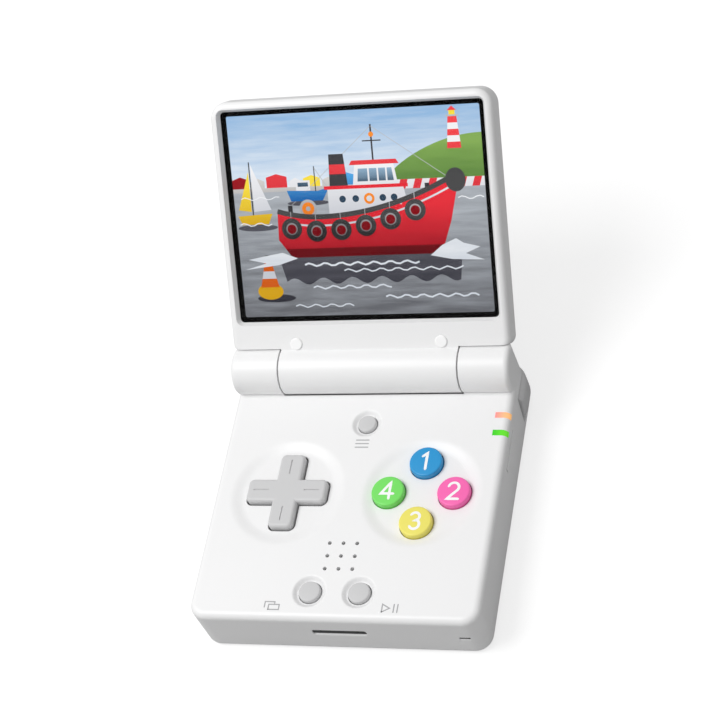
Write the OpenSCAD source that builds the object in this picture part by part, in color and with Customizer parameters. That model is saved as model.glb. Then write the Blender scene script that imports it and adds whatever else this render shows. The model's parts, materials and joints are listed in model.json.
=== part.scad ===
// Clamshell handheld game console: a base with the controls and a hinged lid with the screen.
// Origin: middle of the base's underside. X to the right, Y towards the hinge, Z up.
// Lid parts are drawn in the lid's own frame: origin on the hinge axis, Y along the lid to
// its far edge, Z out of the screen side. lid_place() stands them open by lid_open degrees.

/* [Base] */
// Width of the base and of the lid
body_w = 85; // [85:0.5:92]
// Distance from the middle of the base to its front wall
front_y = 44.3; // [44:0.1:48]
// Height of the button face
face_z = 18; // [17.6:0.1:20]
// Radius of the base's upright corners
corner_r = 5; // [4:0.5:6]
// Radius along the base's top and bottom edges
edge_r = 2; // [1:0.25:2.25]
// Thickness of the base's walls
wall = 1.6; // [1.4:0.1:1.8]
// Thickness of the button face
skin = 1.5; // [1.3:0.1:1.6]
// Thickness of the base's floor
floor_t = 1.5; // [1.2:0.1:1.8]
// Height of the seam between the two halves of the base
seam_z = 9.4; // [9.2:0.1:9.6]

/* [Hinge] */
// Distance from the middle of the base to the hinge axis
hinge_y = 36; // [35.8:0.1:38]
// Height of the hinge axis above the button face
axis_rise = 3.3; // [3.2:0.1:3.8]
// Radius of the hinge barrel
barrel_r = 7.2; // [7:0.1:7.4]
// Gap between the lid's barrel and its trough, and round the base's knuckles
barrel_gap = 0.4; // [0.3:0.05:0.5]
// Half the length of the lid's barrel
barrel_half = 27.15; // [26.5:0.05:28]
// Gap between the ends of the barrel and the knuckles
knuckle_gap = 0.5; // [0.4:0.1:0.8]
// Wall of the trough under the barrel
trough_wall = 1.4; // [1.2:0.1:1.6]
// Radius of the friction cartridge in the right knuckle
cartridge_r = 3.2; // [3:0.1:3.6]
// Length of the friction cartridge
cartridge_len = 12.5; // [11:0.5:13]
// Radius of the cartridge's turning shaft
shaft_r = 1.5; // [1.2:0.1:1.8]
// Outer radius of the hollow pin in the left knuckle
pin_r = 2.6; // [2.4:0.1:2.8]
// Depth of the pin and of the shaft's head in the lid's barrel
barrel_grip = 6.6; // [6:0.2:8]

/* [Lid] */
// Opening angle at which the lid stands
lid_open = 133; // [110:1:136]
// Thickness of the lid
lid_t = 9; // [8.8:0.1:9.6]
// Gap between the button face and the closed lid
lid_gap = 0.45; // [0.42:0.01:0.7]
// Radius of the lid's far corners
lid_corner_r = 5; // [4.5:0.5:6]
// Radius along the lid's front edges
lid_edge_r = 1.8; // [1.2:0.2:1.8]
// Radius along the lid's back edges
lid_back_r = 2; // [1.2:0.2:2]
// Thickness of the lid's side walls
lid_wall = 1.8; // [1.4:0.1:1.8]
// Thickness of the lid's back
lid_skin = 1.5; // [1.2:0.1:1.6]
// Width of the lid's frame on each side of the picture
side_w = 4.3; // [4.3:0.1:5.5]
// Height of the picture
picture_h = 59.6; // [57:0.2:59.8]
// Width of the black border round the picture
border = 1.4; // [1:0.1:1.4]
// Distance from the hinge axis to the middle of the picture
picture_y = 46.2; // [46.1:0.1:46.3]
// Depth of the lens below the lid's front face
lens_depth = 1.6; // [1.5:0.05:1.7]
// Thickness of the lens
lens_t = 0.8; // [0.6:0.1:1]
// Thickness of the display panel
panel_t = 2.4; // [2:0.1:2.6]
// Distance of the bumpers from the middle
bumper_x = 22.2; // [20.5:0.1:24]
// Radius of the bumpers
bumper_r = 1.85; // [1.6:0.05:1.9]
// Height of the bumpers above the lid's front face
bumper_h = 0.4; // [0.3:0.02:0.4]

/* [Controls] */
// Distance of both big dishes' middles from the side walls
dish_inset = 22.4; // [22:0.1:22.6]
// Place of both big dishes from front to back
dish_y = -3.75; // [-4.5:0.05:-3.5]
// Radius of the direction pad's dish
pad_dish_r = 17.6; // [17:0.1:18]
// Radius of the action buttons' dish
action_dish_r = 18; // [17:0.1:18.2]
// Depth of the big dishes
dish_depth = 0.9; // [0.6:0.05:1]
// Overall length of the direction pad
pad_span = 24; // [22:0.2:25]
// Width of the direction pad's arms
pad_arm = 7.4; // [6.6:0.1:8]
// Radius of the action buttons
action_r = 4.8; // [4.5:0.05:4.9]
// Distance of the action buttons from the middle of their dish
action_offset = 9.7; // [9.5:0.1:9.9]
// Height of the pad and the action buttons above the button face
control_rise = 1.15; // [1:0.05:1.15]
// Travel of the action buttons
action_travel = 0.9; // [0.6:0.05:1]
// Radius of the menu button
menu_r = 2.75; // [2.5:0.05:2.8]
// Place of the menu button from front to back
menu_y = 19.3; // [18.8:0.1:19.4]
// Radius of the start and select buttons
start_r = 3.2; // [2.8:0.1:3.3]
// Distance of the start and select buttons from the middle
start_x = 7.26; // [7:0.02:7.6]
// Place of the start and select buttons from front to back
start_y = -35.6; // [-35.8:0.1:-35.4]
// Depth of the small dishes
small_dish_depth = 1.1; // [0.8:0.05:1.2]
// Height of the small buttons above the button face
small_rise = 0.2; // [0:0.05:0.25]
// Travel of the small buttons
small_travel = 0.6; // [0.4:0.05:0.7]
// Gap round the buttons
ride_gap = 0.25; // [0.2:0.01:0.3]

/* [Sound and light] */
// Number of grille holes along each side
grille_n = 3; // [2:1:3]
// Distance between the grille holes
grille_pitch = 4.07; // [3.6:0.01:4.2]
// Radius of the grille holes
grille_r = 0.58; // [0.4:0.01:0.8]
// Place of the speaker from front to back
speaker_y = -24.35; // [-24.5:0.05:-24.2]
// Length of the speaker
speaker_w = 16; // [15:0.5:16.5]
// Places of the two light pipes from front to back
light_y = [16, 21.9];
// Width of the light pipes
light_w = 1.8; // [1.4:0.1:2]
// Length of the light pipes' windows on the button face
light_len = 4.4; // [4:0.1:5]
// Depth of the light pipes' windows down the side wall
light_drop = 1.6; // [1.2:0.1:1.8]

/* [Sides] */
// Place of the card slot's middle from left to right
card_x = 0.9; // [0:0.1:1.2]
// Width of the memory card
card_w = 11; // [10:0.1:11.4]
// Length of the memory card
card_len = 15; // [14.4:0.1:15]
// Thickness of the memory card
card_t = 0.8; // [0.7:0.05:1]
// Place of the volume rocker from front to back
rocker_y = 12.95; // [12:0.05:13.4]
// Length of the volume rocker
rocker_len = 13; // [11:0.1:13]
// Place of the power key from front to back
power_y = 16; // [13:0.5:18]
// Length of the power key
power_len = 9; // [8:0.5:10]
// Height of the side keys
key_h = 1.7; // [1.5:0.1:2]
// Place of the headphone jack from front to back
jack_y = -26; // [-27:0.5:-25]
// Radius of the headphone jack's bore
jack_r = 1.78; // [1.76:0.01:1.85]
// Width of the charging port's mouth
usb_w = 9; // [8.94:0.02:9.2]
// Height of the charging port's mouth
usb_h = 3.26; // [3.2:0.02:3.3]

/* [Shoulder buttons] */
// Height of the lower edge of the shoulder buttons
shoulder_low = 3.4; // [3.2:0.1:4.4]
// Height of the upper edge of the shoulder buttons
shoulder_high = 13.2; // [12.6:0.1:13.4]
// How far the shoulder buttons stand proud of the walls
shoulder_proud = 1.3; // [1:0.1:1.5]
// Distance from the middle to the inner end of the outer shoulder buttons
outer_x = 26.6; // [26.2:0.1:27]
// Place of the front edge of the outer shoulder buttons
outer_y = 29; // [28.8:0.1:29.4]
// Distance from the middle to the near end of the inner shoulder buttons
inner_x = 9.8; // [9:0.1:11]
// Travel of the inner shoulder buttons
inner_travel = 0.6; // [0.4:0.05:0.6]

/* [Inside] */
// Height of the main board's underside
board_z = 9.2; // [9:0.05:9.3]
// Thickness of the main board
board_t = 1; // [0.8:0.1:1.2]
// Width of the battery
battery_w = 50; // [44:1:52]
// Length of the battery
battery_len = 35; // [30:1:35]
// Thickness of the battery
battery_t = 5.2; // [4:0.1:5.4]
// Radius of the case screws
screw_r = 1; // [0.8:0.05:1.1]

/* [Hidden] */

$fn = 48;
eps = 0.01;
// Steps in a rounded edge and in a dish's slope
edge_n = 6;
// Clearance of pieces that seat in each other without moving
seat = 0.05;
// Clearance of a pin or a shaft that turns in its bore
running = 0.05;

// Base
half_w = body_w / 2;
hinge_z = face_z + axis_rise;
rear_y = hinge_y + barrel_r;
board_top = board_z + board_t;
trough_r = barrel_r + barrel_gap;
// Keyed head of the hinge shaft
head_r = 2.55;
knuckle_x = barrel_half + knuckle_gap;
rear_ceiling = hinge_z - trough_r - trough_wall;
bay_y = hinge_y - trough_r - trough_wall;
lip_h = 1;
lip_t = 0.7;
// Height of the rear wall in front of the lid's barrel
rear_lip_z = hinge_z - 6.1;
knuckle_edge = 1.5;
shell_white = [0.93, 0.93, 0.94];
key_grey = [0.8, 0.8, 0.81];

// Case screws: at the front corners and in front of the knuckles
boss_r = 2.8;
screw_at = [
    [half_w - wall - 2.5, -front_y + wall + 2.5],
    [knuckle_x + 3.9, hinge_y - 5.5]
];
screw_head_r = screw_r + 0.9;
screw_head_h = 1.3;
screw_sink = 0.9;
screw_bite = 5;

// Main board
board_front = -front_y + wall + 1.1;
board_rear = bay_y - 0.5;
board_half = half_w - wall - 1.4;
board_screw_r = 0.7;
post_r = 2.2;
post_inset = 11.2;
post_hole = 4.5;
shield_w = 24;
shield_gap = 2;
shield_h = 1.7;
// Place of the battery, behind the card socket and the speaker
battery_inset = 15.2;
battery_y = -front_y + wall + battery_inset + battery_len / 2;
post_at = [[half_w - post_inset, -31.8], [half_w - post_inset, 18.5]];

// Lid
lid_face = axis_rise - lid_gap;
lid_back = lid_face - lid_t;
lid_reach = hinge_y + front_y;
lid_near = 5.5;
lid_near_r = 3.2;
picture_w = body_w - 2 * side_w;
lid_seam = -1.5;
frame_w = picture_w + 2 * border;
frame_h = picture_h + 2 * border;
recess_slope = 0.8;
lens_top = lid_face - lens_depth;
lens_w = frame_w + 1.6;
lens_h = frame_h + 1.6;
mask_t = 0.1;
panel_top = lens_top - lens_t - mask_t;
panel_w = frame_w - 0.4;
panel_h = frame_h + 0.6;
lid_hollow_y0 = picture_y - lens_h / 2 - 0.3;
lid_hollow_y1 = picture_y + lens_h / 2 + 0.3;
crease_y = sqrt(pow(barrel_r, 2) - pow(lid_face, 2));
bumper_y = crease_y + bumper_r + 0.1;
bumper_sink = 1.4;
// Gap between the cover and the barrel, and the display's flat cable
boss_gap = 0.1;
flex_x0 = -19.5;
flex_x1 = -12;
flex_z = -1;
flex_t = 0.2;
lid_screw_r = 0.7;
lid_screw_head_r = 1.4;
lid_screw_head_h = 0.9;

// Controls
dish_x = half_w - dish_inset;
dish_floor = face_z - dish_depth;
// Underside of the button face in the dishes
dish_under = face_z - skin - 0.6;
action_at = [[0, 1], [1, 0], [0, -1], [-1, 0]];
control_top = face_z + control_rise;
small_top = face_z + small_rise;
flange_gap = 0.15;
flange_t = 1;
action_flange_r = action_r + 0.9;
menu_flange_r = menu_r + 1;
start_flange_r = start_r + 1;
small_dish_rim = 1.95;
// Domes of the rubber membranes
pad_t = 0.8;
dome_r = 2.2;
rest_gap = 0.1;
// Direction pad: it rocks on a ball
ball_r = 2;
ball_z = board_top + 0.7 + ball_r;
ball_gap = 0.15;
pad_tilt = 3.5;
pad_flange_r = 13;
pad_flange_t = 0.8;
// Tilt of a push between two arms
pad_tilt_both = 1.42 * pad_tilt;
pad_flange_top = dish_under - pad_flange_r * sin(pad_tilt_both) - 0.2;
pad_dome_at = 9.3;
pad_end_r = 1.6;
pad_edge = 0.9;
pad_line = 4.6;

// Card slot over the main board
socket_h = 1.9;
socket_t = 0.3;
card_z = board_top + 0.7;
card_gap = 0.12;
card_rim = 0.08;
card_cut = 3;
slot_w = card_w + 5;
slot_top = card_z + 0.68;
slot_corner_r = 0.8;
slot_bevel = 0.45;
slot_bevel_h = 0.7;
nose_sink = 0.25;
card_sink = 0.15;

// Side keys
key_z = board_top + 2.6;
key_proud = 0.2;
key_gap = 0.2;
key_rim = 0.6;
rocker_gap = 0.4;
rocker_rib_r = 0.35;
key_flange_t = 0.7;
key_travel = 0.4;
switch_d = 3.4;
switch_w = 3.4;
switch_h = 3.2;
plunger_r = 0.8;
plunger_len = 0.5;

// Headphone jack
jack_body_r = 2.9;
jack_z = board_top + jack_body_r;
jack_len = 12;

// Charging port on its own small board
usb_board_z = floor_t + 2.9;
usb_board_t = 0.8;
usb_z = usb_board_z + usb_board_t + usb_h / 2;
usb_len = 8.6;

// Shoulder buttons
bay_gap = 0.25;
side_gap = 0.4;
bay_low = shoulder_low - bay_gap;
bay_high = shoulder_high + bay_gap;
shoulder_t = 1.5;
outer_pin_r = 0.9;
outer_pin_at = [half_w - 2.9, outer_y + 3.8];
outer_ear_r = 2;
ear_sink = 0.3;
outer_swing = 0.5;
// The front edge of an outer button leans forwards to its foot
outer_lean = 1.6;
// Radii of an outer button's bulge: at its front edge, round the corner, below and above
bulge_front_r = 4;
bulge_front_y = outer_y - 1;
bulge_corner_r = 8;
bulge_low_r = 3;
bulge_high_r = 2.2;
inner_far_x = outer_x - 2;
shoulder_board_z = floor_t + 5.7;
shoulder_board_t = 0.8;
shoulder_switch_y = rear_y - 6.2;
shoulder_switch_x = [(inner_x + inner_far_x) / 2, outer_x + 3];
shoulder_switch_z = shoulder_board_z + shoulder_board_t;

// Light pipes
pipe_t = 1.5;
pipe_leg = 1.4;
pipe_in_x = half_w - 8.5;
led_h = 0.6;

// ---- Shapes that repeat ----

function arc_points(c, r, a0, a1) = r == 0
    ? [c]
    : [for (i = [0:edge_n]) let (a = a0 + (a1 - a0) * i / edge_n) c + r * [cos(a), sin(a)]];

// Place of an outer shoulder button's front edge at height z
function outer_front(z) =
    outer_y + outer_lean * (z - shoulder_low) / (shoulder_high - shoulder_low);

// Plain block between two corners
module box(low, high) {
    translate(low) cube(high - low);
}

// Rounded rectangle between two corners, with true arcs
module round_rect(low, high, r) {
    translate([low[0] + r, low[1]]) square([high[0] - low[0] - 2 * r, high[1] - low[1]]);
    translate([low[0], low[1] + r]) square([high[0] - low[0], high[1] - low[1] - 2 * r]);
    for (x = [low[0] + r, high[0] - r], y = [low[1] + r, high[1] - r])
        translate([x, y]) circle(r = r);
}

// Plate with rounded corners in plan, from z0 to z1
module slab(low, high, r, z0, z1) {
    translate([0, 0, z0]) linear_extrude(z1 - z0) round_rect(low, high, r);
}

// Plate of a given size round a middle
module plate(middle, size, r, z0, z1) {
    slab(middle - size / 2, middle + size / 2, r, z0, z1);
}

// Half of a section whose outer corners are rounded by low_e and high_e, with true arcs
module half_profile(w, z0, z1, low_e, high_e) {
    intersection() {
        union() {
            translate([0, z0 + low_e]) square([w, z1 - z0 - low_e - high_e]);
            if (w > low_e) translate([0, z0]) square([w - low_e, z1 - z0 - high_e]);
            if (w > high_e) translate([0, z0 + low_e]) square([w - high_e, z1 - z0 - low_e]);
            if (low_e > 0) translate([w - low_e, z0 + low_e]) circle(r = low_e);
            if (high_e > 0) translate([w - high_e, z1 - high_e]) circle(r = high_e);
        }
        translate([0, z0 - 1]) square([w + 1, z1 - z0 + 2]);
    }
}

// Upright round post whose lower and upper edges are rounded
module post(r, z0, z1, low_e = 0, high_e = 0) {
    rotate_extrude() half_profile(r, z0, z1, low_e, high_e);
}

// Block with rounded upright corners, r0 at y0 and r1 at y1, and rounded lower and upper
// edges. Its middle, its end strips and its quarter-round corners meet face to face.
module rounded_block(half, y0, y1, r0, r1, z0, z1, low_e, high_e) {
    translate([0, y1 - r1, 0]) rotate([90, 0, 0]) linear_extrude(y1 - r1 - y0 - r0) {
        half_profile(half, z0, z1, low_e, high_e);
        mirror([1, 0]) half_profile(half, z0, z1, low_e, high_e);
    }
    block_end(half, y1, r1, z0, z1, low_e, high_e);
    mirror([0, 1, 0]) block_end(half, -y0, r0, z0, z1, low_e, high_e);
}

// End of a rounded block that reaches y
module block_end(half, y, r, z0, z1, low_e, high_e) {
    translate([r - half, y - r, 0]) rotate([90, 0, 90]) linear_extrude(2 * (half - r))
        half_profile(r, z0, z1, low_e, high_e);
    both_sides()
        translate([half - r, y - r, 0])
            intersection() {
                post(r, z0, z1, low_e, high_e);
                box([0, 0, z0 - 1], [r + 1, r + 1, z1 + 1]);
            }
}

// Bar along X on the line y, z
module x_bar(r, x0, x1, y, z) {
    translate([x0, y, z]) rotate([0, 90, 0]) cylinder(r = r, h = x1 - x0);
}

// Bar along X with two flats, which can't turn in its hole
module keyed_bar(r, flat, x0, x1, y, z) {
    intersection() {
        x_bar(r, x0, x1, y, z);
        box([x0 - 1, y - r - 1, z - flat], [x1 + 1, y + r + 1, z + flat]);
    }
}

// Cutter of a dish: flat floor of radius r - slope, soft slope up to radius r at z = 0.
// It is turned so that the seam of its surface runs clear of the holes.
module dish(r, slope, depth) {
    rotate([0, 0, 45]) rotate_extrude()
        polygon(concat(
            [[0, -depth]],
            [for (i = [0:edge_n + 2]) let (t = i / (edge_n + 2))
                [r - slope + slope * t, -depth * (1 + cos(180 * t)) / 2]],
            [[r, 1], [0, 1]]
        ));
}

// Repeats its children at the left and at the right
module both_sides() {
    children();
    mirror([1, 0, 0]) children();
}

// Places lid parts on the hinge axis at the opening angle
module lid_place() {
    translate([0, hinge_y, hinge_z]) rotate([180 - lid_open, 0, 0]) children();
}

// ---- Base: forms that both shells share ----

// Outer form of the base from z0 to z1, grown outwards by grow
module base_block(z0, z1, low_e, high_e, grow = 0) {
    r = corner_r + grow;
    rounded_block(half_w + grow, -front_y - grow, rear_y + grow, r, r, z0, z1, low_e, high_e);
}

// Plan of the base as an upright prism, shrunk inwards by inset
module base_prism(inset, z0, z1) {
    slab([-half_w + inset, -front_y + inset], [half_w - inset, rear_y - inset],
        corner_r - inset, z0, z1);
}

// Hollow inside the base: high under the button face, low under the hinge
module base_hollow() {
    base_prism(wall, floor_t, rear_ceiling);
    slab([-half_w + wall, -front_y + wall], [half_w - wall, bay_y], corner_r - wall,
        floor_t, face_z - skin);
}

// Block from x outwards with the side outline of the outer shoulder buttons, whose front
// edge is moved forwards and whose lower and upper edges are grown
module outer_side(x, forwards, grow) {
    translate([x, 0, 0]) rotate([90, 0, 90]) linear_extrude(half_w + 3 - x)
        polygon([
            [outer_front(shoulder_low - grow) - forwards, shoulder_low - grow],
            [rear_y + 3, shoulder_low - grow],
            [rear_y + 3, shoulder_high + grow],
            [outer_front(shoulder_high + grow) - forwards, shoulder_high + grow]
        ]);
}

// Openings that the shoulder buttons fill, on the right side
module shoulder_bays() {
    outer_side(outer_x - outer_swing - side_gap, outer_swing, bay_gap);
    box([inner_x - side_gap, rear_y - wall - 1.4, bay_low],
        [inner_far_x + side_gap, rear_y + 2, bay_high]);
}

// Openings in the side, front and rear walls
module wall_openings() {
    both_sides() shoulder_bays();
    // Charging port
    plate_y(0, usb_z, [usb_w + 0.3, usb_h + 0.3], rear_y - wall - 1, rear_y + 1);
    // Headphone jack
    x_bar(jack_body_r + seat, -half_w - 1, -half_w + wall + 1, jack_y, jack_z);
    // Volume rocker and power key
    box([half_w - wall - 1, rocker_y - rocker_len / 2 - key_gap, key_z - key_h / 2 - key_gap],
        [half_w + 1, rocker_y + rocker_len / 2 + key_gap, key_z + key_h / 2 + key_gap]);
    box([-half_w - 1, power_y - power_len / 2 - key_gap, key_z - key_h / 2 - key_gap],
        [-half_w + wall + 1, power_y + power_len / 2 + key_gap, key_z + key_h / 2 + key_gap]);
}

// Form of the card slot from z0 up, shrunk by inset, from y0 to behind the wall
module card_slot(inset, z0, y0) {
    slab_y([card_x - slot_w / 2 + inset, z0], [card_x + slot_w / 2 - inset, slot_top - inset],
        slot_corner_r - inset, y0, -front_y + wall + 0.4);
}

// Wedge cut into the front wall: depth deep below z, running out to nothing at z - high
module front_wedge(x, w, z, deep, high) {
    translate([x - w / 2, -front_y, z]) rotate([90, 0, 90]) linear_extrude(w)
        polygon([[-1, 0], [deep, 0], [0, -high], [-1, -high]]);
}

// Stadium-shaped passage along Y, with its middle at x, z
module plate_y(x, z, size, y0, y1) {
    r = size[1] / 2;
    box([x - size[0] / 2 + r, y0, z - r], [x + size[0] / 2 - r, y1, z + r]);
    for (side = [-1, 1])
        translate([x + side * (size[0] / 2 - r), y0, z]) rotate([-90, 0, 0])
            cylinder(r = r, h = y1 - y0);
}

// ---- Base: shells ----

// Round end of the hinge that belongs to the base, on the right side
module knuckle() {
    intersection() {
        union() {
            translate([0, hinge_y, hinge_z]) rotate([0, 90, 0])
                post(barrel_r, knuckle_x, half_w, 0, knuckle_edge);
            box([knuckle_x, hinge_y, bay_high], [half_w, rear_y, hinge_z]);
        }
        base_prism(0, 0, hinge_z + barrel_r + 1);
    }
}

// Rings and backs under the button face that guide the buttons
module control_guides() {
    for (side = [-1, 1])
        translate([side * dish_x, dish_y, dish_under])
            cylinder(r = (side < 0 ? pad_dish_r : action_dish_r) + 0.3, h = skin);
    for (p = action_at)
        translate([dish_x + p[0] * action_offset, dish_y + p[1] * action_offset, 0])
            guide_ring(action_flange_r);
    translate([0, menu_y, 0]) small_guide(menu_r, menu_flange_r);
    both_sides() translate([start_x, start_y, 0]) small_guide(start_r, start_flange_r);
    // Frame that holds the speaker
    difference() {
        plate([0, speaker_y], [speaker_w, speaker_d] + [2.2, 2.2], 1.4,
            face_z - skin - 2.6, face_z - skin + 0.5);
        plate([0, speaker_y], [speaker_w, speaker_d] + [0.2, 0.2], 0.8,
            face_z - skin - 3, face_z - skin);
    }
}

module guide_ring(flange_r) {
    difference() {
        translate([0, 0, dish_under - 1.3]) cylinder(r = flange_r + 0.95, h = 1.6);
        translate([0, 0, dish_under - 2]) cylinder(r = flange_r + 0.25, h = 2);
    }
}

module small_guide(r, flange_r) {
    translate([0, 0, dish_under]) cylinder(r = r + small_dish_rim + 0.3, h = skin);
    guide_ring(flange_r);
}

// Screw bosses of the upper shell
module upper_bosses() {
    intersection() {
        both_sides()
            for (p = screw_at)
                translate([p[0], p[1], seam_z]) cylinder(r = boss_r, h = face_z - skin - seam_z + 0.5);
        base_prism(0.5, seam_z, face_z - 0.5);
    }
}

// Cuts its children from the button face with the wide dishes of the two thumbs
module cut_thumb_dishes() {
    difference() {
        children();
        translate([-dish_x, dish_y, face_z]) dish(pad_dish_r, 4.5, dish_depth);
        translate([dish_x, dish_y, face_z]) dish(action_dish_r, 4.5, dish_depth);
    }
}

// Cuts its children from the button face with the dishes of the three small buttons
module cut_small_dishes() {
    difference() {
        difference() {
            children();
            translate([0, menu_y, face_z]) dish(menu_r + small_dish_rim, 1.6, small_dish_depth);
        }
        both_sides()
            translate([start_x, start_y, face_z]) dish(start_r + small_dish_rim, 1.6, small_dish_depth);
    }
}

// Holes in the button face
module face_holes() {
    translate([-dish_x, dish_y, 0]) pad_cross(ride_gap + 0.25, dish_under - 1, face_z + 1);
    for (p = action_at)
        translate([dish_x + p[0] * action_offset, dish_y + p[1] * action_offset, dish_under - 1])
            cylinder(r = action_r + ride_gap, h = 5);
    translate([0, menu_y, dish_under - 1]) cylinder(r = menu_r + ride_gap, h = 5);
    both_sides()
        translate([start_x, start_y, dish_under - 1]) cylinder(r = start_r + ride_gap, h = 5);
    grille_span = (grille_n - 1) * grille_pitch / 2;
    for (x = [-grille_span:grille_pitch:grille_span + eps])
        for (y = [-grille_span:grille_pitch:grille_span + eps])
            translate([x, speaker_y + y, face_z - skin - 1]) cylinder(r = grille_r, h = skin + 2);
}

// Cross of the direction pad as a straight prism, grown by grow
module pad_cross(grow, z0, z1) {
    for (size = [[pad_span, pad_arm], [pad_arm, pad_span]])
        plate([0, 0], size + 2 * [grow, grow], pad_end_r + grow, z0, z1);
}

// Bores in the knuckles for the hinge hardware
module hinge_bores() {
    keyed_bar(cartridge_r + seat, cartridge_r * 0.84 + seat, knuckle_x - 1,
        knuckle_x + cartridge_len + 0.5, hinge_y, hinge_z);
    x_bar(pin_r + seat, -knuckle_x - cartridge_len - 0.5, -knuckle_x + 1, hinge_y, hinge_z);
}

// Upper shell's walls with knuckles, trough, guides and bosses
module top_walls() {
    union() {
        difference() {
            union() {
                base_block(seam_z, face_z, 0, edge_r);
                both_sides() knuckle();
            }
            base_hollow();
            x_bar(trough_r, -knuckle_x, knuckle_x, hinge_y, hinge_z);
            box([-knuckle_x, hinge_y, rear_lip_z], [knuckle_x, rear_y + 1, hinge_z]);
            base_prism(wall - lip_t - seat, seam_z - 1, seam_z + lip_h + 0.1);
            wall_openings();
            card_slot(0, seam_z - 2, -front_y - 1);
        }
        control_guides();
        upper_bosses();
    }
}

module base_top_shell() {
    color(shell_white)
    difference() {
        difference() {
            cut_small_dishes() cut_thumb_dishes() top_walls();
            face_holes();
        }
        hinge_bores();
        both_sides()
            for (p = screw_at)
                translate([p[0], p[1], seam_z - 1])
                    cylinder(r = screw_r + seat, h = screw_bite + 1.5);
        for (y = light_y)
            light_pipe_bars(y, seat);
        both_sides() shoulder_pin_form(seat);
    }
}

module base_bottom_shell() {
    color(shell_white)
    difference() {
        union() {
            difference() {
                union() {
                    base_block(0, seam_z, edge_r, 0);
                    // Lip that the upper shell slips over
                    base_prism(wall - lip_t, seam_z - 1, seam_z + lip_h);
                }
                base_prism(wall, floor_t, seam_z + lip_h + 1);
                wall_openings();
                // Lip leaves the card slot free, and the slot's lower edge is bevelled
                box([card_x - slot_w / 2, -front_y - 1, seam_z + eps],
                    [card_x + slot_w / 2, -front_y + wall + 1, seam_z + lip_h + 1]);
                front_wedge(card_x, slot_w - 0.8, seam_z + eps, slot_bevel, slot_bevel_h);
                // Notch for a pry tool, with a sloped floor
                front_wedge(pry_x, pry_w, seam_z + eps, pry_deep, pry_high);
                // Lip makes room for the upper shell's bosses and the jack
                both_sides()
                    for (p = screw_at)
                        translate([p[0], p[1], seam_z]) cylinder(r = boss_r + 0.3, h = lip_h + 1);
            }
            both_sides() lower_posts();
            battery_frame();
        }
        both_sides()
            for (p = screw_at)
                translate([p[0], p[1], 0]) {
                    translate([0, 0, -1])
                        cylinder(r = screw_head_r + 0.25, h = screw_sink + screw_head_h + 1);
                    cylinder(r = screw_r + 0.15, h = seam_z + 1);
                }
        both_sides()
            for (p = post_at)
                translate([p[0], p[1], board_z - post_hole])
                    cylinder(r = board_screw_r + seat, h = post_hole + 1);
        both_sides() shoulder_pin_form(seat);
    }
}

// Posts that stand on the floor, on the right side
module lower_posts() {
    intersection() {
        for (p = screw_at)
            translate([p[0], p[1], floor_t - 0.5]) cylinder(r = boss_r, h = seam_z - floor_t + 0.5);
        base_prism(0.5, 0.5, seam_z);
    }
    for (p = post_at)
        translate([p[0], p[1], floor_t - 0.5]) cylinder(r = post_r, h = board_z - floor_t + 0.5);
    translate([usb_board_half - 1.6, usb_board_y0 + 1.6, floor_t - 0.5])
        cylinder(r = 1.4, h = usb_board_z - floor_t + 0.5);
    for (x = shoulder_board_posts)
        translate([x, shoulder_switch_y, floor_t - 0.5])
            cylinder(r = 1.6, h = shoulder_board_z - floor_t + 0.5);
    // Socket of the shoulder button's pin
    translate([outer_pin_at[0], outer_pin_at[1], floor_t - 0.5])
        cylinder(r = outer_ear_r, h = shoulder_low - floor_t + 0.2);
}

// Low wall round the battery
module battery_frame() {
    difference() {
        plate([0, battery_y], [battery_w, battery_len] + [2.6, 2.6], 1.5, floor_t - 0.5, floor_t + 3);
        plate([0, battery_y], [battery_w, battery_len] + [0.6, 0.6], 0.5, floor_t - 1, floor_t + 4);
    }
}

// Case screws with a six-sided socket
module case_screws() {
    color("dimgray")
    both_sides()
        for (p = screw_at)
            translate([p[0], p[1], screw_sink])
                difference() {
                    union() {
                        cylinder(r = screw_head_r, h = screw_head_h);
                        cylinder(r = screw_r, h = seam_z - screw_sink + screw_bite);
                    }
                    translate([0, 0, -1]) cylinder(r = screw_r * 0.75, h = 1 + screw_head_h * 0.6, $fn = 6);
                }
}

// ---- Inside of the base ----

pry_x = half_w - 5.8;
pry_w = 3.2;
pry_deep = 0.85;
pry_high = 1.5;
speaker_d = 10.5;
usb_board_half = 8;
usb_board_len = 11;
usb_board_y0 = rear_y - wall - usb_board_len;
shoulder_board_x0 = inner_x + 2;
shoulder_board_x1 = outer_x + 9.4;
shoulder_board_posts = [shoulder_board_x0 + 2, shoulder_board_x1 - 2];

module main_board() {
    color([0.1, 0.35, 0.2])
    difference() {
        slab([-board_half, board_front], [board_half, board_rear], 1.5, board_z, board_top);
        both_sides() {
            translate([screw_at[0][0], screw_at[0][1], board_z - 1])
                cylinder(r = boss_r + 0.5, h = board_t + 2);
            for (p = post_at)
                translate([p[0], p[1], board_z - 1]) cylinder(r = board_screw_r + 0.1, h = board_t + 2);
        }
    }
}

module board_screws() {
    color("silver")
    both_sides()
        for (p = post_at)
            translate([p[0], p[1], 0]) {
                translate([0, 0, board_top]) cylinder(r = 1.4, h = 0.8);
                translate([0, 0, board_z - 4]) cylinder(r = board_screw_r, h = board_t + 4.4);
            }
}

module shield_can() {
    color("silver")
    slab([-shield_w / 2, battery_y + battery_len / 2 + shield_gap], [shield_w / 2, board_rear - 1], 1,
        board_z - shield_h, board_z);
}

module battery() {
    color([0.2, 0.3, 0.55])
    plate([0, battery_y], [battery_w, battery_len], 1.5, floor_t, floor_t + battery_t);
}

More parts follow.
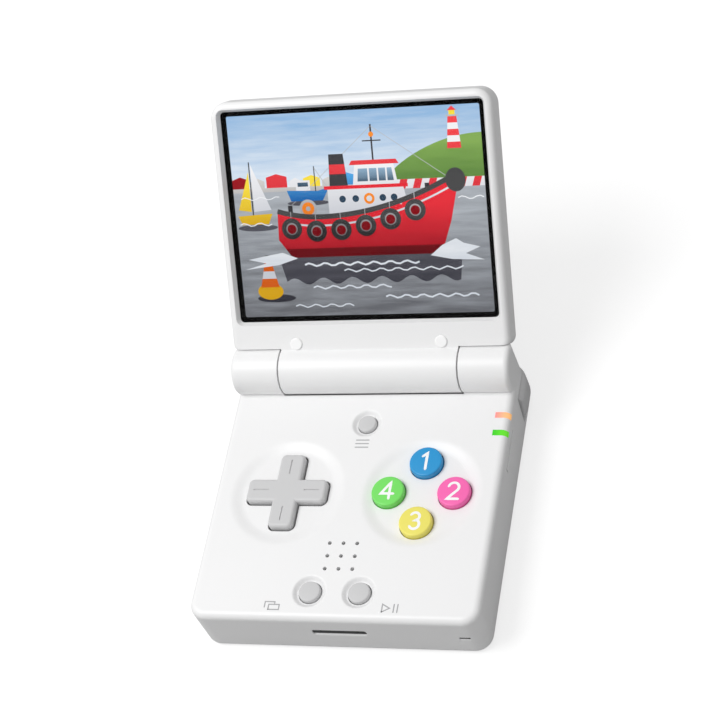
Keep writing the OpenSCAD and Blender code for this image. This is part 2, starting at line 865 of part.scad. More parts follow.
// Speaker with its frame and its cone's hollow
module speaker() {
    color([0.15, 0.15, 0.16])
    difference() {
        plate([0, speaker_y], [speaker_w, speaker_d], 1.5, face_z - skin - 4, face_z - skin);
        plate([0, speaker_y], [speaker_w, speaker_d] - [3, 3], 1.5, face_z - skin - 0.9, face_z);
    }
}

module headphone_jack() {
    color([0.12, 0.12, 0.13])
    difference() {
        union() {
            x_bar(jack_body_r, -half_w, -half_w + wall + 2, jack_y, jack_z);
            box([-half_w + wall + 0.3, jack_y - jack_body_r, board_top],
                [-half_w + wall + jack_len, jack_y + jack_body_r, jack_z + jack_body_r - 0.4]);
        }
        x_bar(jack_r, -half_w - 1, -half_w + wall + jack_len - 1, jack_y, jack_z);
    }
}

// Socket that the memory card slides into
module card_socket() {
    color([0.12, 0.12, 0.13])
    difference() {
        union() {
            box([card_x - slot_w / 2, -front_y + wall + 0.2, board_top],
                [card_x + slot_w / 2, -front_y + card_sink + card_len + 1.5, board_top + socket_h]);
            // Nose that fills the slot in the wall
            card_slot(seat, seam_z + seat, -front_y + nose_sink);
        }
        box([card_x - card_w / 2 - card_gap, -front_y, card_z - card_t / 2 - card_gap],
            [card_x + card_w / 2 + card_gap, -front_y + card_sink + card_len + card_gap,
                card_z + card_t / 2 + card_gap]);
    }
}

// Memory card with its cut corner and its raised grip edge
module memory_card() {
    y0 = -front_y + card_sink;
    z0 = card_z - card_t / 2;
    color([0.12, 0.12, 0.14])
    difference() {
        union() {
            slab([card_x - card_w / 2, y0], [card_x + card_w / 2, y0 + card_len], 0.8, z0, z0 + card_t);
            box([card_x - card_w / 2 + 1, y0, z0],
                [card_x + card_w / 2 - 1, y0 + 0.9, z0 + card_t + card_rim]);
        }
        translate([card_x + card_w / 2, y0 + card_len, z0]) rotate([0, 0, 45])
            cube([card_cut, card_cut, 4 * card_t], center = true);
    }
}

module usb_board() {
    color([0.1, 0.35, 0.2])
    slab([-usb_board_half, usb_board_y0], [usb_board_half, rear_y - wall - 0.5], 0.8,
        usb_board_z, usb_board_z + usb_board_t);
}

// Charging port: a flat tube with a tongue inside
module usb_c_port() {
    y0 = rear_y - 0.3 - usb_len;
    color("silver")
    union() {
        difference() {
            plate_y(0, usb_z, [usb_w, usb_h], y0, rear_y - 0.3);
            plate_y(0, usb_z, [usb_w - 0.6, usb_h - 0.6], y0 + 1, rear_y);
        }
        box([-usb_w / 2 + 1.2, y0 + 0.5, usb_z - 0.35], [usb_w / 2 - 1.2, rear_y - 1.2, usb_z + 0.35]);
    }
}

module indicator_leds() {
    color("khaki")
    for (y = light_y)
        box([pipe_in_x, y - 0.5, board_top], [pipe_in_x + pipe_leg, y + 0.5, board_top + led_h]);
}

// Bars of a light pipe: its window at the shell's edge, its arm under the face and its leg
module light_pipe_bars(y, grow) {
    w = light_w / 2 + grow;
    skin_z = face_z - skin;
    arm_x = half_w - wall - 0.1 + grow;
    box([half_w - light_len - grow, y - w, skin_z - eps], [half_w + 1, y + w, face_z + 1]);
    box([half_w - wall - 0.2, y - w, face_z - light_drop - grow], [half_w + 1, y + w, face_z]);
    box([pipe_in_x - grow, y - w, skin_z - pipe_t], [arm_x, y + w, skin_z]);
    box([pipe_in_x - grow, y - w, board_top + led_h + 0.2], [pipe_in_x + pipe_leg + grow, y + w, skin_z]);
}

// Clear light pipe, flush with the shell's rounded edge
module light_pipe(y) {
    intersection() {
        light_pipe_bars(y, 0);
        base_block(board_z, face_z, 0, edge_r);
    }
}

module light_pipe_front() {
    color([0.4, 0.9, 0.3]) light_pipe(light_y[0]);
}

module light_pipe_rear() {
    color([1, 0.6, 0.5]) light_pipe(light_y[1]);
}

// ---- Rubber membranes ----

// Dome of a membrane that ends rest_gap and the travel below the piece that presses it
module dome(z0, z1) {
    translate([0, 0, z0 - 0.1]) cylinder(r1 = dome_r, r2 = dome_r * 0.7, h = z1 - z0 + 0.1);
}

pad_dome_top = pad_flange_top - pad_flange_t - (pad_dome_at + dome_r) * sin(pad_tilt) - rest_gap;
action_dome_top = board_top + 2.2;
menu_dome_top = board_top + 2.3;
start_pad_z = board_top + socket_h;
start_dome_top = start_pad_z + 1.2;

module pad_membrane() {
    color([0.35, 0.35, 0.37])
    translate([-dish_x, dish_y, 0])
    difference() {
        union() {
            translate([0, 0, board_top]) cylinder(r = pad_flange_r, h = pad_t);
            for (p = action_at)
                translate([p[0] * pad_dome_at, p[1] * pad_dome_at, 0])
                    dome(board_top + pad_t, pad_dome_top);
            // Cup of the pivot ball
            translate([0, 0, board_top]) cylinder(r = ball_r + 1, h = ball_z - board_top - 0.6);
        }
        translate([0, 0, ball_z]) sphere(r = ball_r + ball_gap);
    }
}

module action_membrane() {
    color([0.35, 0.35, 0.37])
    translate([dish_x, dish_y, 0]) {
        translate([0, 0, board_top]) cylinder(r = action_offset + dome_r + 1.8, h = pad_t);
        for (p = action_at)
            translate([p[0] * action_offset, p[1] * action_offset, 0])
                dome(board_top + pad_t, action_dome_top);
    }
}

module menu_membrane() {
    color([0.35, 0.35, 0.37])
    translate([0, menu_y, 0]) {
        translate([0, 0, board_top]) cylinder(r = 4.2, h = pad_t);
        dome(board_top + pad_t, menu_dome_top);
    }
}

// Membrane that bridges the card socket on two legs
module start_select_membrane() {
    x1 = slot_w / 2 + card_x + 4;
    color([0.35, 0.35, 0.37])
    union() {
        slab([-x1, start_y - 3.8], [x1, start_y + 3.8], 1, start_pad_z, start_pad_z + pad_t);
        both_sides() {
            box([x1 - 2.5, start_y - 3, board_top], [x1 - 0.5, start_y + 3, start_pad_z + eps]);
            translate([start_x, start_y, 0]) dome(start_pad_z + pad_t, start_dome_top);
        }
    }
}

// ---- Controls ----

// Ball between the membrane's cup and the pad's socket
module pad_pivot_ball() {
    color("white")
    translate([-dish_x, dish_y, ball_z]) sphere(r = ball_r);
}

// Direction pad: cross with rounded edges, engraved lines, flange and pivot socket
module direction_pad() {
    flange_low = pad_flange_top - pad_flange_t;
    color(key_grey)
    translate([-dish_x, dish_y, 0])
    difference() {
        union() {
            for (turn = [0, 90])
                rotate([0, 0, turn])
                    rounded_block(pad_span / 2, -pad_arm / 2, pad_arm / 2, pad_end_r, pad_end_r,
                        pad_flange_top - 0.2, control_top, 0, pad_edge);
            translate([0, 0, flange_low]) cylinder(r = pad_flange_r, h = pad_flange_t);
            translate([0, 0, ball_z + 0.4]) cylinder(r = 4.2, h = flange_low - ball_z);
        }
        translate([0, 0, ball_z]) sphere(r = ball_r + ball_gap);
        for (turn = [0:90:270])
            rotate([0, 0, turn])
                box([pad_span / 2 - 2 - pad_line, -0.22, control_top - 0.25],
                    [pad_span / 2 - 2, 0.22, control_top + 1]);
    }
}

// Round push button: stem, flange, straight sides and a softly crowned top
module push_button(r, top, flange_r, stem_low, edge, crown) {
    flange_top = dish_under - flange_gap;
    stem_r = dome_r * 0.7;
    rotate_extrude()
        polygon(concat(
            [[0, stem_low], [stem_r, stem_low], [stem_r, flange_top - flange_t],
                [flange_r, flange_top - flange_t], [flange_r, flange_top], [r, flange_top]],
            arc_points([r - edge, top - edge], edge, 0, 80),
            [for (i = [1:4]) let (t = i / 4)
                [(r - edge) * (1 - t), top + crown * (1 - pow(1 - t, 2)) - 0.01 * (1 - t)]]
        ));
}

module action_button(i, colour) {
    p = action_at[i];
    color(colour)
    translate([dish_x + p[0] * action_offset, dish_y + p[1] * action_offset, 0]) {
        push_button(action_r, control_top - 0.15, action_flange_r,
            action_dome_top + action_travel + rest_gap, 0.55, 0.15);
    }
}

module small_button(x, y, r, flange_r, dome_top) {
    color(key_grey)
    translate([x, y, 0])
        push_button(r, small_top - 0.1, flange_r, dome_top + small_travel + rest_gap, 0.5, 0.1);
}

module button_top() action_button(0, [0.17, 0.56, 0.82]);
module button_right() action_button(1, [0.98, 0.41, 0.7]);
module button_bottom() action_button(2, [0.96, 0.92, 0.57]);
module button_left() action_button(3, [0.43, 0.86, 0.39]);
module menu_button() small_button(0, menu_y, menu_r, menu_flange_r, menu_dome_top);
module select_button() small_button(-start_x, start_y, start_r, start_flange_r, start_dome_top);
module start_button() small_button(start_x, start_y, start_r, start_flange_r, start_dome_top);

// Key in the left wall: its face and its flange behind the wall
module power_key() {
    x_in = -half_w + wall + 0.15;
    color(shell_white)
    union() {
        box([-half_w - key_proud, power_y - power_len / 2, key_z - key_h / 2],
            [x_in + 0.1, power_y + power_len / 2, key_z + key_h / 2]);
        box([x_in, power_y - power_len / 2 - key_rim, key_z - key_h / 2 - key_rim],
            [x_in + key_flange_t, power_y + power_len / 2 + key_rim, key_z + key_h / 2 + key_rim]);
    }
}

// Rocker in the right wall: it turns on the upright rib in the middle of its flange
module volume_rocker() {
    x_in = half_w - wall - rocker_gap;
    color(shell_white)
    union() {
        translate([x_in, rocker_y, key_z - key_h / 2 - key_rim])
            cylinder(r = rocker_rib_r, h = key_h + 2 * key_rim);
        box([x_in - 0.1, rocker_y - rocker_len / 2, key_z - key_h / 2],
            [half_w + key_proud, rocker_y + rocker_len / 2, key_z + key_h / 2]);
        box([x_in - key_flange_t, rocker_y - rocker_len / 2 - key_rim, key_z - key_h / 2 - key_rim],
            [x_in, rocker_y + rocker_len / 2 + key_rim, key_z + key_h / 2 + key_rim]);
    }
}

// Push switch lying on a board: body and plunger along +X
module push_switch() {
    box([-switch_d, -switch_w / 2, 0], [0, switch_w / 2, switch_h]);
    translate([-0.5, 0, switch_h - 1.2]) rotate([0, 90, 0]) cylinder(r = plunger_r, h = plunger_len + 0.5);
}

// Switches behind the power key and behind both ends of the rocker
module side_switches() {
    rocker_back = half_w - wall - rocker_gap - key_flange_t - 0.4 - plunger_len;
    power_back = -half_w + wall + 0.15 + key_flange_t + key_travel + 0.1 + plunger_len;
    color([0.2, 0.2, 0.2]) {
        for (side = [-1, 1])
            translate([rocker_back, rocker_y + side * rocker_len * 0.34, board_top]) push_switch();
        translate([power_back, power_y, board_top]) mirror([1, 0, 0]) push_switch();
    }
}

// ---- Shoulder buttons, drawn on the right side ----

// Small boards that carry the shoulder switches
module shoulder_boards() {
    color([0.1, 0.35, 0.2])
    both_sides()
        slab([shoulder_board_x0, shoulder_switch_y - switch_d],
            [shoulder_board_x1, shoulder_switch_y + 1.8], 0.8,
            shoulder_board_z, shoulder_board_z + shoulder_board_t);
}

module shoulder_switches() {
    color([0.2, 0.2, 0.2])
    both_sides()
        for (x = shoulder_switch_x)
            translate([x, shoulder_switch_y, shoulder_switch_z]) rotate([0, 0, 90]) push_switch();
}

module shoulder_pin_form(grow) {
    translate([outer_pin_at[0], outer_pin_at[1], floor_t + 0.3 - grow])
        cylinder(r = outer_pin_r + grow, h = bay_high + 1 - floor_t - 0.3 + 2 * grow);
}

module shoulder_pins() {
    color("silver") both_sides() shoulder_pin_form(0);
}

// Button that wraps the corner and turns on its pin
module outer_shoulder() {
    tip_y = shoulder_switch_y + plunger_len + inner_travel + 0.1;
    stem_z = shoulder_switch_z + switch_h - 1.2;
    color(key_grey)
    difference() {
        union() {
            intersection() {
                difference() {
                    rounded_block(half_w + shoulder_proud, bulge_front_y, rear_y + shoulder_proud,
                        bulge_front_r, bulge_corner_r, shoulder_low, shoulder_high,
                        bulge_low_r, bulge_high_r);
                    base_prism(shoulder_t, shoulder_low - 1, shoulder_high + 1);
                }
                outer_side(outer_x, 0, 1);
            }
            translate([outer_pin_at[0], outer_pin_at[1], shoulder_low + ear_sink])
                cylinder(r = outer_ear_r, h = shoulder_high - shoulder_low - 2 * ear_sink);
            box([outer_pin_at[0], outer_pin_at[1] - outer_ear_r, shoulder_low + ear_sink],
                [half_w - shoulder_t + 0.2, outer_pin_at[1] + outer_ear_r, shoulder_high - ear_sink]);
            box([shoulder_switch_x[1] - 1.4, tip_y, stem_z - 1],
                [shoulder_switch_x[1] + 1.4, rear_y - 1, stem_z + 1]);
        }
        translate([outer_pin_at[0], outer_pin_at[1], 0]) cylinder(r = outer_pin_r + running, h = face_z);
    }
}

// Button in the rear wall that slides straight in
module inner_shoulder() {
    tip_y = shoulder_switch_y + plunger_len + inner_travel + 0.1;
    stem_z = shoulder_switch_z + switch_h - 1.2;
    inside_y = rear_y - wall - 0.15;
    color(key_grey)
    union() {
        slab_y([inner_x, shoulder_low], [inner_far_x, shoulder_high], 1.2,
            inside_y - 0.1, rear_y + shoulder_proud);
        box([inner_x - 0.7, inside_y - 0.8, shoulder_low + 0.6],
            [inner_far_x + 0.5, inside_y, rear_ceiling - 0.5]);
        box([shoulder_switch_x[0] - 1.4, tip_y, stem_z - 1],
            [shoulder_switch_x[0] + 1.4, inside_y, stem_z + 1]);
    }
}

// Plate with rounded corners seen along Y; low and high are x, z corners
module slab_y(low, high, r, y0, y1) {
    translate([0, y1, 0]) rotate([90, 0, 0]) linear_extrude(y1 - y0) round_rect(low, high, r);
}

module shoulder_right_outer() outer_shoulder();
module shoulder_right_inner() inner_shoulder();
module shoulder_left_outer() mirror([1, 0, 0]) outer_shoulder();
module shoulder_left_inner() mirror([1, 0, 0]) inner_shoulder();

// ---- Hinge hardware ----

// Friction cartridge, held by its flats in the right knuckle
module hinge_cartridge() {
    color("silver")
    difference() {
        keyed_bar(cartridge_r, cartridge_r * 0.84, knuckle_x + 0.1, knuckle_x + cartridge_len,
            hinge_y, hinge_z);
        x_bar(shaft_r + running, knuckle_x - 1, knuckle_x + cartridge_len - 1.5, hinge_y, hinge_z);
    }
}

// Hollow pin that carries the left side and lets the display's cable through
module hinge_pin() {
    color("silver")
    difference() {
        x_bar(pin_r, -knuckle_x - cartridge_len, -barrel_half + barrel_grip, hinge_y, hinge_z);
        x_bar(pin_r - 0.8, -knuckle_x - cartridge_len + 1, -barrel_half + barrel_grip + 1, hinge_y, hinge_z);
    }
}

// Shaft that turns with the lid: a keyed head in the barrel and a round end in the cartridge
module hinge_shaft() {
    color("gray")
    lid_place() {
        keyed_bar(head_r, head_r * 0.78, barrel_half - barrel_grip + 0.3, barrel_half - 0.1, 0, 0);
        x_bar(shaft_r, barrel_half - 1, knuckle_x + cartridge_len - 2, 0, 0);
    }
}

// ---- Lid ----

// Outer form of the lid without its barrel, from z0 to z1
module lid_block(z0, z1, low_e, high_e) {
    rounded_block(half_w, lid_near, lid_reach, lid_near_r, lid_corner_r, z0, z1, low_e, high_e);
    box([-barrel_half, 0, z0], [barrel_half, lid_near + 5, z1]);
}

// Space round the base's knuckles that both halves of the lid leave free
module knuckle_relief() {
    both_sides() x_bar(trough_r, barrel_half, half_w + 1, 0, 0);
}

// Hollow between the two halves, from the back's inside to the lens
module lid_hollow() {
    slab([-lens_w / 2 - 0.3, lid_hollow_y0], [lens_w / 2 + 0.3, lid_hollow_y1], 2.5,
        lid_back + lid_skin, lens_top);
}

// Frame of the screen with the hinge barrel
module lid_bezel() {
    color(shell_white)
    lid_place()
    difference() {
        union() {
            lid_block(lid_seam, lid_face, 0, lid_edge_r);
            x_bar(barrel_r, -barrel_half, barrel_half, 0, 0);
        }
        knuckle_relief();
        lid_hollow();
        // Window whose sides slope down to the lens
        hull() {
            plate([0, picture_y], [frame_w, frame_h], 1.3, lens_top - eps, lens_top + eps);
            plate([0, picture_y], [frame_w, frame_h] + 2 * [recess_slope, recess_slope], 1.3 + recess_slope,
                lid_face, lid_face + eps);
        }
        both_sides()
            translate([bumper_x, bumper_y, 0]) {
                translate([0, 0, lid_face - bumper_sink]) cylinder(r = bumper_r + seat, h = 5);
                translate([0, 0, lid_face - bumper_sink - lid_screw_head_h])
                    cylinder(r = lid_screw_head_r + 0.1, h = 5);
                translate([0, 0, lid_back]) cylinder(r = lid_screw_r + 0.1, h = lid_t);
            }
        keyed_bar(head_r + seat, head_r * 0.78 + seat, barrel_half - barrel_grip, barrel_half + 1, 0, 0);
        x_bar(pin_r + running, -barrel_half - 1, flex_x1 + 0.5, 0, 0);
        // Way of the display's flat cable into the barrel
        box([flex_x0 - 0.3, 0, flex_z - 0.2], [flex_x1 + 0.3, lid_hollow_y0 + 1, flex_z + flex_t + 0.2]);
    }
}

// Back of the lid with the screw bosses and the ribs that stop the display
module lid_cover() {
    color(shell_white)
    lid_place()
    difference() {
        lid_block(lid_back, lid_seam, lid_back_r, 0);
        knuckle_relief();
        x_bar(barrel_r + boss_gap, -barrel_half - 1, barrel_half + 1, 0, 0);
        lid_hollow();
        both_sides()
            translate([bumper_x, bumper_y, lid_back + 1.2]) cylinder(r = lid_screw_r + seat, h = lid_t);
    }
}

module lid_screws() {
    head_z = lid_face - bumper_sink - lid_screw_head_h;
    color("dimgray")
    lid_place() both_sides()
        translate([bumper_x, bumper_y, 0]) {
            translate([0, 0, head_z]) cylinder(r = lid_screw_head_r, h = lid_screw_head_h - 0.05);
            translate([0, 0, lid_back + 1.4]) cylinder(r = lid_screw_r, h = head_z - lid_back - 1);
        }
}

// Soft bumpers that cover the screws and keep the closed lid off the button face
module lid_bumpers() {
    color("white")
    lid_place() both_sides()
        translate([bumper_x, bumper_y, 0])
            post(bumper_r, lid_face - bumper_sink, lid_face + bumper_h, 0, bumper_h);
}

module screen_lens() {
    color([0.6, 0.7, 0.8, 0.4])
    lid_place() plate([0, picture_y], [lens_w, lens_h], 2.2, lens_top - lens_t, lens_top);
}

// Black printed frame behind the lens
module screen_mask() {
    color([0.05, 0.05, 0.05])
    lid_place()
    difference() {
        plate([0, picture_y], [lens_w, lens_h] - [0.4, 0.4], 2,
            lens_top - lens_t - mask_t, lens_top - lens_t);
        plate([0, picture_y], [picture_w, picture_h], 0.6, lens_top - lens_t - 1, lens_top);
    }
}

module display_panel() {
    color([0.25, 0.45, 0.7])
    lid_place() plate([0, picture_y], [panel_w, panel_h], 1, panel_top - panel_t, panel_top);
}

// Foam frame that presses the display panel forwards
module display_cushion() {
    color([0.2, 0.2, 0.2])
    lid_place()
    difference() {
        plate([0, picture_y], [panel_w, panel_h] - [3, 3], 1, lid_back + lid_skin, panel_top - panel_t);
        plate([0, picture_y], [panel_w, panel_h] - [9, 9], 1, lid_back, panel_top);
    }
}

// Flat cable from the panel's lower edge into the hollow barrel
module display_flex() {
    color([0.8, 0.5, 0.2])
    lid_place() box([flex_x0, 1.6, flex_z], [flex_x1, picture_y - panel_h / 2 - 0.02, flex_z + flex_t]);
}

base_top_shell();
base_bottom_shell();
case_screws();
main_board();
board_screws();
shield_can();
battery();
speaker();
headphone_jack();
card_socket();
memory_card();
usb_board();
usb_c_port();
indicator_leds();
light_pipe_front();
light_pipe_rear();
pad_membrane();
action_membrane();
menu_membrane();
start_select_membrane();
pad_pivot_ball();
direction_pad();
button_top();
button_right();
button_bottom();
button_left();
menu_button();
select_button();
start_button();
power_key();
volume_rocker();
side_switches();
shoulder_boards();
shoulder_switches();
shoulder_pins();
shoulder_left_outer();
shoulder_left_inner();
shoulder_right_inner();
shoulder_right_outer();
hinge_cartridge();
hinge_pin();
hinge_shaft();
lid_bezel();
lid_cover();
lid_screws();
lid_bumpers();
screen_lens();
screen_mask();
display_panel();
display_cushion();
display_flex();
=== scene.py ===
"""Looks of a clamshell handheld game console, dressed over its packed construction."""

import json
import math

import bpy
from bpy.props import FloatProperty, FloatVectorProperty, PointerProperty
from mathutils import Matrix, Vector


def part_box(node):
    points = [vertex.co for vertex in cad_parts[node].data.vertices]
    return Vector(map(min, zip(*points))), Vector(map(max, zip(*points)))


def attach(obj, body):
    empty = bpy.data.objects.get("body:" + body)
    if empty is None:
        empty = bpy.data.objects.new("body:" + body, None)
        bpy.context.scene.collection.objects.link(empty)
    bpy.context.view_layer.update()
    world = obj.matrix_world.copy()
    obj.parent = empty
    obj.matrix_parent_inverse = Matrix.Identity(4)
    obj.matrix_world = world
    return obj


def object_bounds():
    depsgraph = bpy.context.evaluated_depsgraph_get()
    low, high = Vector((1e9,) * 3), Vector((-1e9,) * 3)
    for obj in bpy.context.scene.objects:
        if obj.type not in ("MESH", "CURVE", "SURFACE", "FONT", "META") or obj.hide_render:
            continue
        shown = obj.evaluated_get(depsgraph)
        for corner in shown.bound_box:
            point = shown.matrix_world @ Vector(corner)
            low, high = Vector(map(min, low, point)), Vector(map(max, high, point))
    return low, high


bl_info = {
    "name": "Clamshell Game Console",
    "version": (1, 0, 0),
    "blender": (4, 5, 0),
    "location": "View3D > Sidebar > Console",
    "description": "Finishes, legends, display and studio of a clamshell game console",
    "category": "Object",
}

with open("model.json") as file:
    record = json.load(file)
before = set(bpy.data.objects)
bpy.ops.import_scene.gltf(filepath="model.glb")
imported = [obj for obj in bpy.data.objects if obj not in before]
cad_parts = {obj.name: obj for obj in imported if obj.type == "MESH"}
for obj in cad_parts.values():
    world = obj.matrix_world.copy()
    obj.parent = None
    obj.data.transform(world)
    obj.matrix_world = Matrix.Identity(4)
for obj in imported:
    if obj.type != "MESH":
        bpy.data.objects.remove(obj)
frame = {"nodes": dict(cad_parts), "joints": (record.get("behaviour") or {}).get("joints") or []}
CAD_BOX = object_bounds()
MM = 0.001


# ---- Places taken from the construction ----

def joint_named(name):
    """The joint of that name in the construction."""
    return next(j for j in frame["joints"] if j["name"] == name)


def centre_of(name):
    """Middle of a node's box."""
    low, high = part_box(name)
    return (low + high) / 2


# Height of the seam between the base's two shells, where the upper one starts
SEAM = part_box("base_top_shell")[0].z
LID_HINGE = joint_named("lid_hinge")
# The lid's own frame: origin on the hinge axis, Y along the lid, Z out of the screen
LID_PLACE = (
    Matrix.Translation(LID_HINGE["pos_m"])
    @ Matrix.Rotation(math.radians(180 - LID_HINGE["range_deg"][1]), 4, "X")
)


def lid_box(name):
    """Lowest and highest corner of a lid node in the lid's own frame."""
    back = LID_PLACE.inverted()
    points = [back @ v.co for v in frame["nodes"][name].data.vertices]
    low = Vector(min(p[i] for p in points) for i in range(3))
    high = Vector(max(p[i] for p in points) for i in range(3))
    return low, high


# ---- Settings ----

def colour_property(name, description, default):
    """A colour that the user can change."""
    return FloatVectorProperty(
        name=name, description=description, default=default, subtype="COLOR", min=0, max=1)


def length_property(name, description, default):
    """A length that the user can change."""
    return FloatProperty(
        name=name, description=description, default=default, unit="LENGTH", precision=5)


class ConsoleColours(bpy.types.PropertyGroup):
    """Colours of the mouldings and the print."""

    shell: colour_property("Shell", "Both halves of the base and of the lid", (0.87, 0.87, 0.872))
    keys: colour_property(
        "Keys", "Direction pad, small buttons and shoulder buttons", (0.59, 0.59, 0.595))
    top: colour_property("Top button", "Action button at the top", (0.008, 0.295, 0.64))
    right: colour_property("Right button", "Action button at the right", (0.95, 0.135, 0.45))
    bottom: colour_property("Bottom button", "Action button at the bottom", (0.85, 0.765, 0.135))
    left: colour_property("Left button", "Action button at the left", (0.175, 0.74, 0.12))
    legend: colour_property("Numbers", "Numbers on the action buttons", (0.95, 0.95, 0.95))
    icons: colour_property("Icons", "Icons beside the small buttons", (0.4, 0.4, 0.41))


class ConsolePrint(bpy.types.PropertyGroup):
    """Sizes of the numbers and icons."""

    number_height: length_property("Number height", "Height of the numbers", 5.2 * MM)
    number_stroke: length_property("Number stroke", "Width of the numbers' lines", 0.8 * MM)
    icon_height: length_property("Icon height", "Height of the icons", 2.4 * MM)
    icon_stroke: length_property("Icon stroke", "Width of the icons' lines", 0.36 * MM)
    lift: length_property("Ink thickness", "Height of the ink above its surface", 0.015 * MM)


class ConsoleStudio(bpy.types.PropertyGroup):
    """Light of the studio."""

    key_power: FloatProperty(name="Key light", description="Power of the overhead light",
                             default=5.7, subtype="POWER")
    fill: FloatProperty(name="Fill", description="Strength of the light from all round",
                        default=0.48, subtype="FACTOR")


# ---- Meshes ----

def new_piece(name, vertices, faces, material, body, flat=None):
    """A mesh piece that rides on a body; flat holds its points' places on a flat picture."""
    mesh = bpy.data.meshes.new(name)
    mesh.from_pydata([tuple(v) for v in vertices], [], faces)
    if flat:
        layer = mesh.uv_layers.new(name="picture")
        for loop in mesh.loops:
            layer.data[loop.index].uv = flat[loop.vertex_index]
    mesh.update()
    piece = bpy.data.objects.new(name, mesh)
    bpy.context.scene.collection.objects.link(piece)
    mesh.materials.append(material)
    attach(piece, body)
    return piece


def cuboid(low, high):
    """Corners and outward faces of an upright box."""
    corners = [(x, y, z) for z in (low[2], high[2]) for y in (low[1], high[1])
               for x in (low[0], high[0])]
    below, above = (0, 2, 3, 1), (4, 5, 7, 6)
    round_about = [(0, 1, 5, 4), (1, 3, 7, 5), (3, 2, 6, 7), (2, 0, 4, 6)]
    return corners, [below, above, *round_about]


def arc(centre, radius, start, end, steps):
    """Points along an arc, with angles in degrees."""
    out = []
    for i in range(steps + 1):
        a = math.radians(start + (end - start) * i / steps)
        out.append((centre[0] + radius * math.cos(a), centre[1] + radius * math.sin(a)))
    return out


def ribbon(points, width, cap_steps=6):
    """Vertices and faces of a flat line of that width with round ends."""
    path = [Vector(p) for p in points]
    half = width / 2
    sides = []
    for i, p in enumerate(path):
        before = (p - path[i - 1]).normalized() if i else (path[1] - p).normalized()
        after = (path[i + 1] - p).normalized() if i + 1 < len(path) else before
        across = Vector((-(before + after).y, (before + after).x)).normalized()
        # The corner's point lies further out than half the width, but never more than twice as far
        reach = half / max(0.5, across.dot(Vector((-after.y, after.x))))
        sides.append((p + across * reach, p - across * reach))
    vertices = [v for pair in sides for v in pair]
    faces = [(2 * i, 2 * i + 1, 2 * i + 3, 2 * i + 2) for i in range(len(path) - 1)]
    for end, inner, first, last in ((path[0], path[1], 0, 1), (path[-1], path[-2], -1, -2)):
        out = (end - inner).normalized()
        turn = math.atan2(out.y, out.x)
        ids = [first % (2 * len(path))]
        for k in range(1, cap_steps):
            a = turn + math.pi / 2 - math.pi * k / cap_steps
            vertices.append(end + half * Vector((math.cos(a), math.sin(a))))
            ids.append(len(vertices) - 1)
        ids.append(last % (2 * len(path)))
        faces.append(tuple(ids))
    return vertices, faces


def divided(stroke, step):
    """The stroke with points added so that none of its parts is longer than step."""
    out = [Vector(stroke[0])]
    for start, end in zip(stroke, stroke[1:]):
        start, end = Vector(start), Vector(end)
        parts = max(1, math.ceil((end - start).length / step))
        out += [start.lerp(end, i / parts) for i in range(1, parts + 1)]
    return out


# Longest part of a printed line, so that it follows a rounded surface
INK_STEP = 0.5 * MM


def ink(name, strokes, size, width, place, height_at, material, body):
    """Printed lines, drawn in units of size, that lie height_at(x, y) over the plane of place."""
    vertices, faces = [], []
    for stroke in strokes:
        path = [(x * size, y * size) for x, y in stroke]
        flat, quads = ribbon(divided(path, INK_STEP), width)
        base = len(vertices)
        vertices += [place @ Vector((p.x, p.y, height_at(p.x, p.y))) for p in flat]
        faces += [tuple(base + i for i in f) for f in quads]
    return new_piece(name, vertices, faces, material, body)


# ---- Node groups and materials ----

def feed(socket, value):
    """Sets an input to a value, or links it if the value is another node's output."""
    if isinstance(value, bpy.types.NodeSocket):
        socket.id_data.links.new(value, socket)
    else:
        socket.default_value = value


def set_inputs(made, **inputs):
    """Feeds a node's inputs by name, with _ for a space."""
    for key, value in inputs.items():
        feed(made.inputs[key.replace("_", " ")], value)


def node(tree, kind, at, **inputs):
    """A node with its inputs fed by name."""
    made = tree.nodes.new(kind)
    made.location = at
    set_inputs(made, **inputs)
    return made


def math_node(tree, operation, values, at):
    """The result of a Math node on numbers or outputs."""
    made = node(tree, "ShaderNodeMath", at)
    made.operation = operation
    for socket, value in zip(made.inputs, values):
        feed(socket, value)
    return made.outputs[0]


def scaled(tree, colour, factor, at):
    """A colour times a factor."""
    made = node(tree, "ShaderNodeVectorMath", at)
    made.operation = "SCALE"
    feed(made.inputs[0], colour)
    feed(made.inputs["Scale"], factor)
    return made.outputs[0]


def mixed(tree, factor, first, second, at):
    """A colour that goes from the first to the second as the factor goes from 0 to 1."""
    made = tree.nodes.new("ShaderNodeMix")
    made.location = at
    made.data_type = "RGBA"
    set_inputs(made, Factor=factor, A=first, B=second)
    return made.outputs["Result"]


def new_group(name, inputs, outputs):
    """An empty node group with named sockets, and its input and output nodes."""
    tree = bpy.data.node_groups.new(name, "ShaderNodeTree")
    for label, kind, default in inputs:
        socket = tree.interface.new_socket(name=label, in_out="INPUT", socket_type=kind)
        socket.default_value = default
    for label, kind in outputs:
        tree.interface.new_socket(name=label, in_out="OUTPUT", socket_type=kind)
    source = node(tree, "NodeGroupInput", (-900, 0))
    sink = node(tree, "NodeGroupOutput", (700, 0))
    return tree, source.outputs, sink


# Depth of the relief that the grain and the brushed lines stand for
RELIEF = 0.02 * MM
# What the groups of both finishes put out
FINISH_OUTPUTS = [("Colour", "NodeSocketColor"), ("Roughness", "NodeSocketFloat"),
                  ("Height", "NodeSocketFloat")]


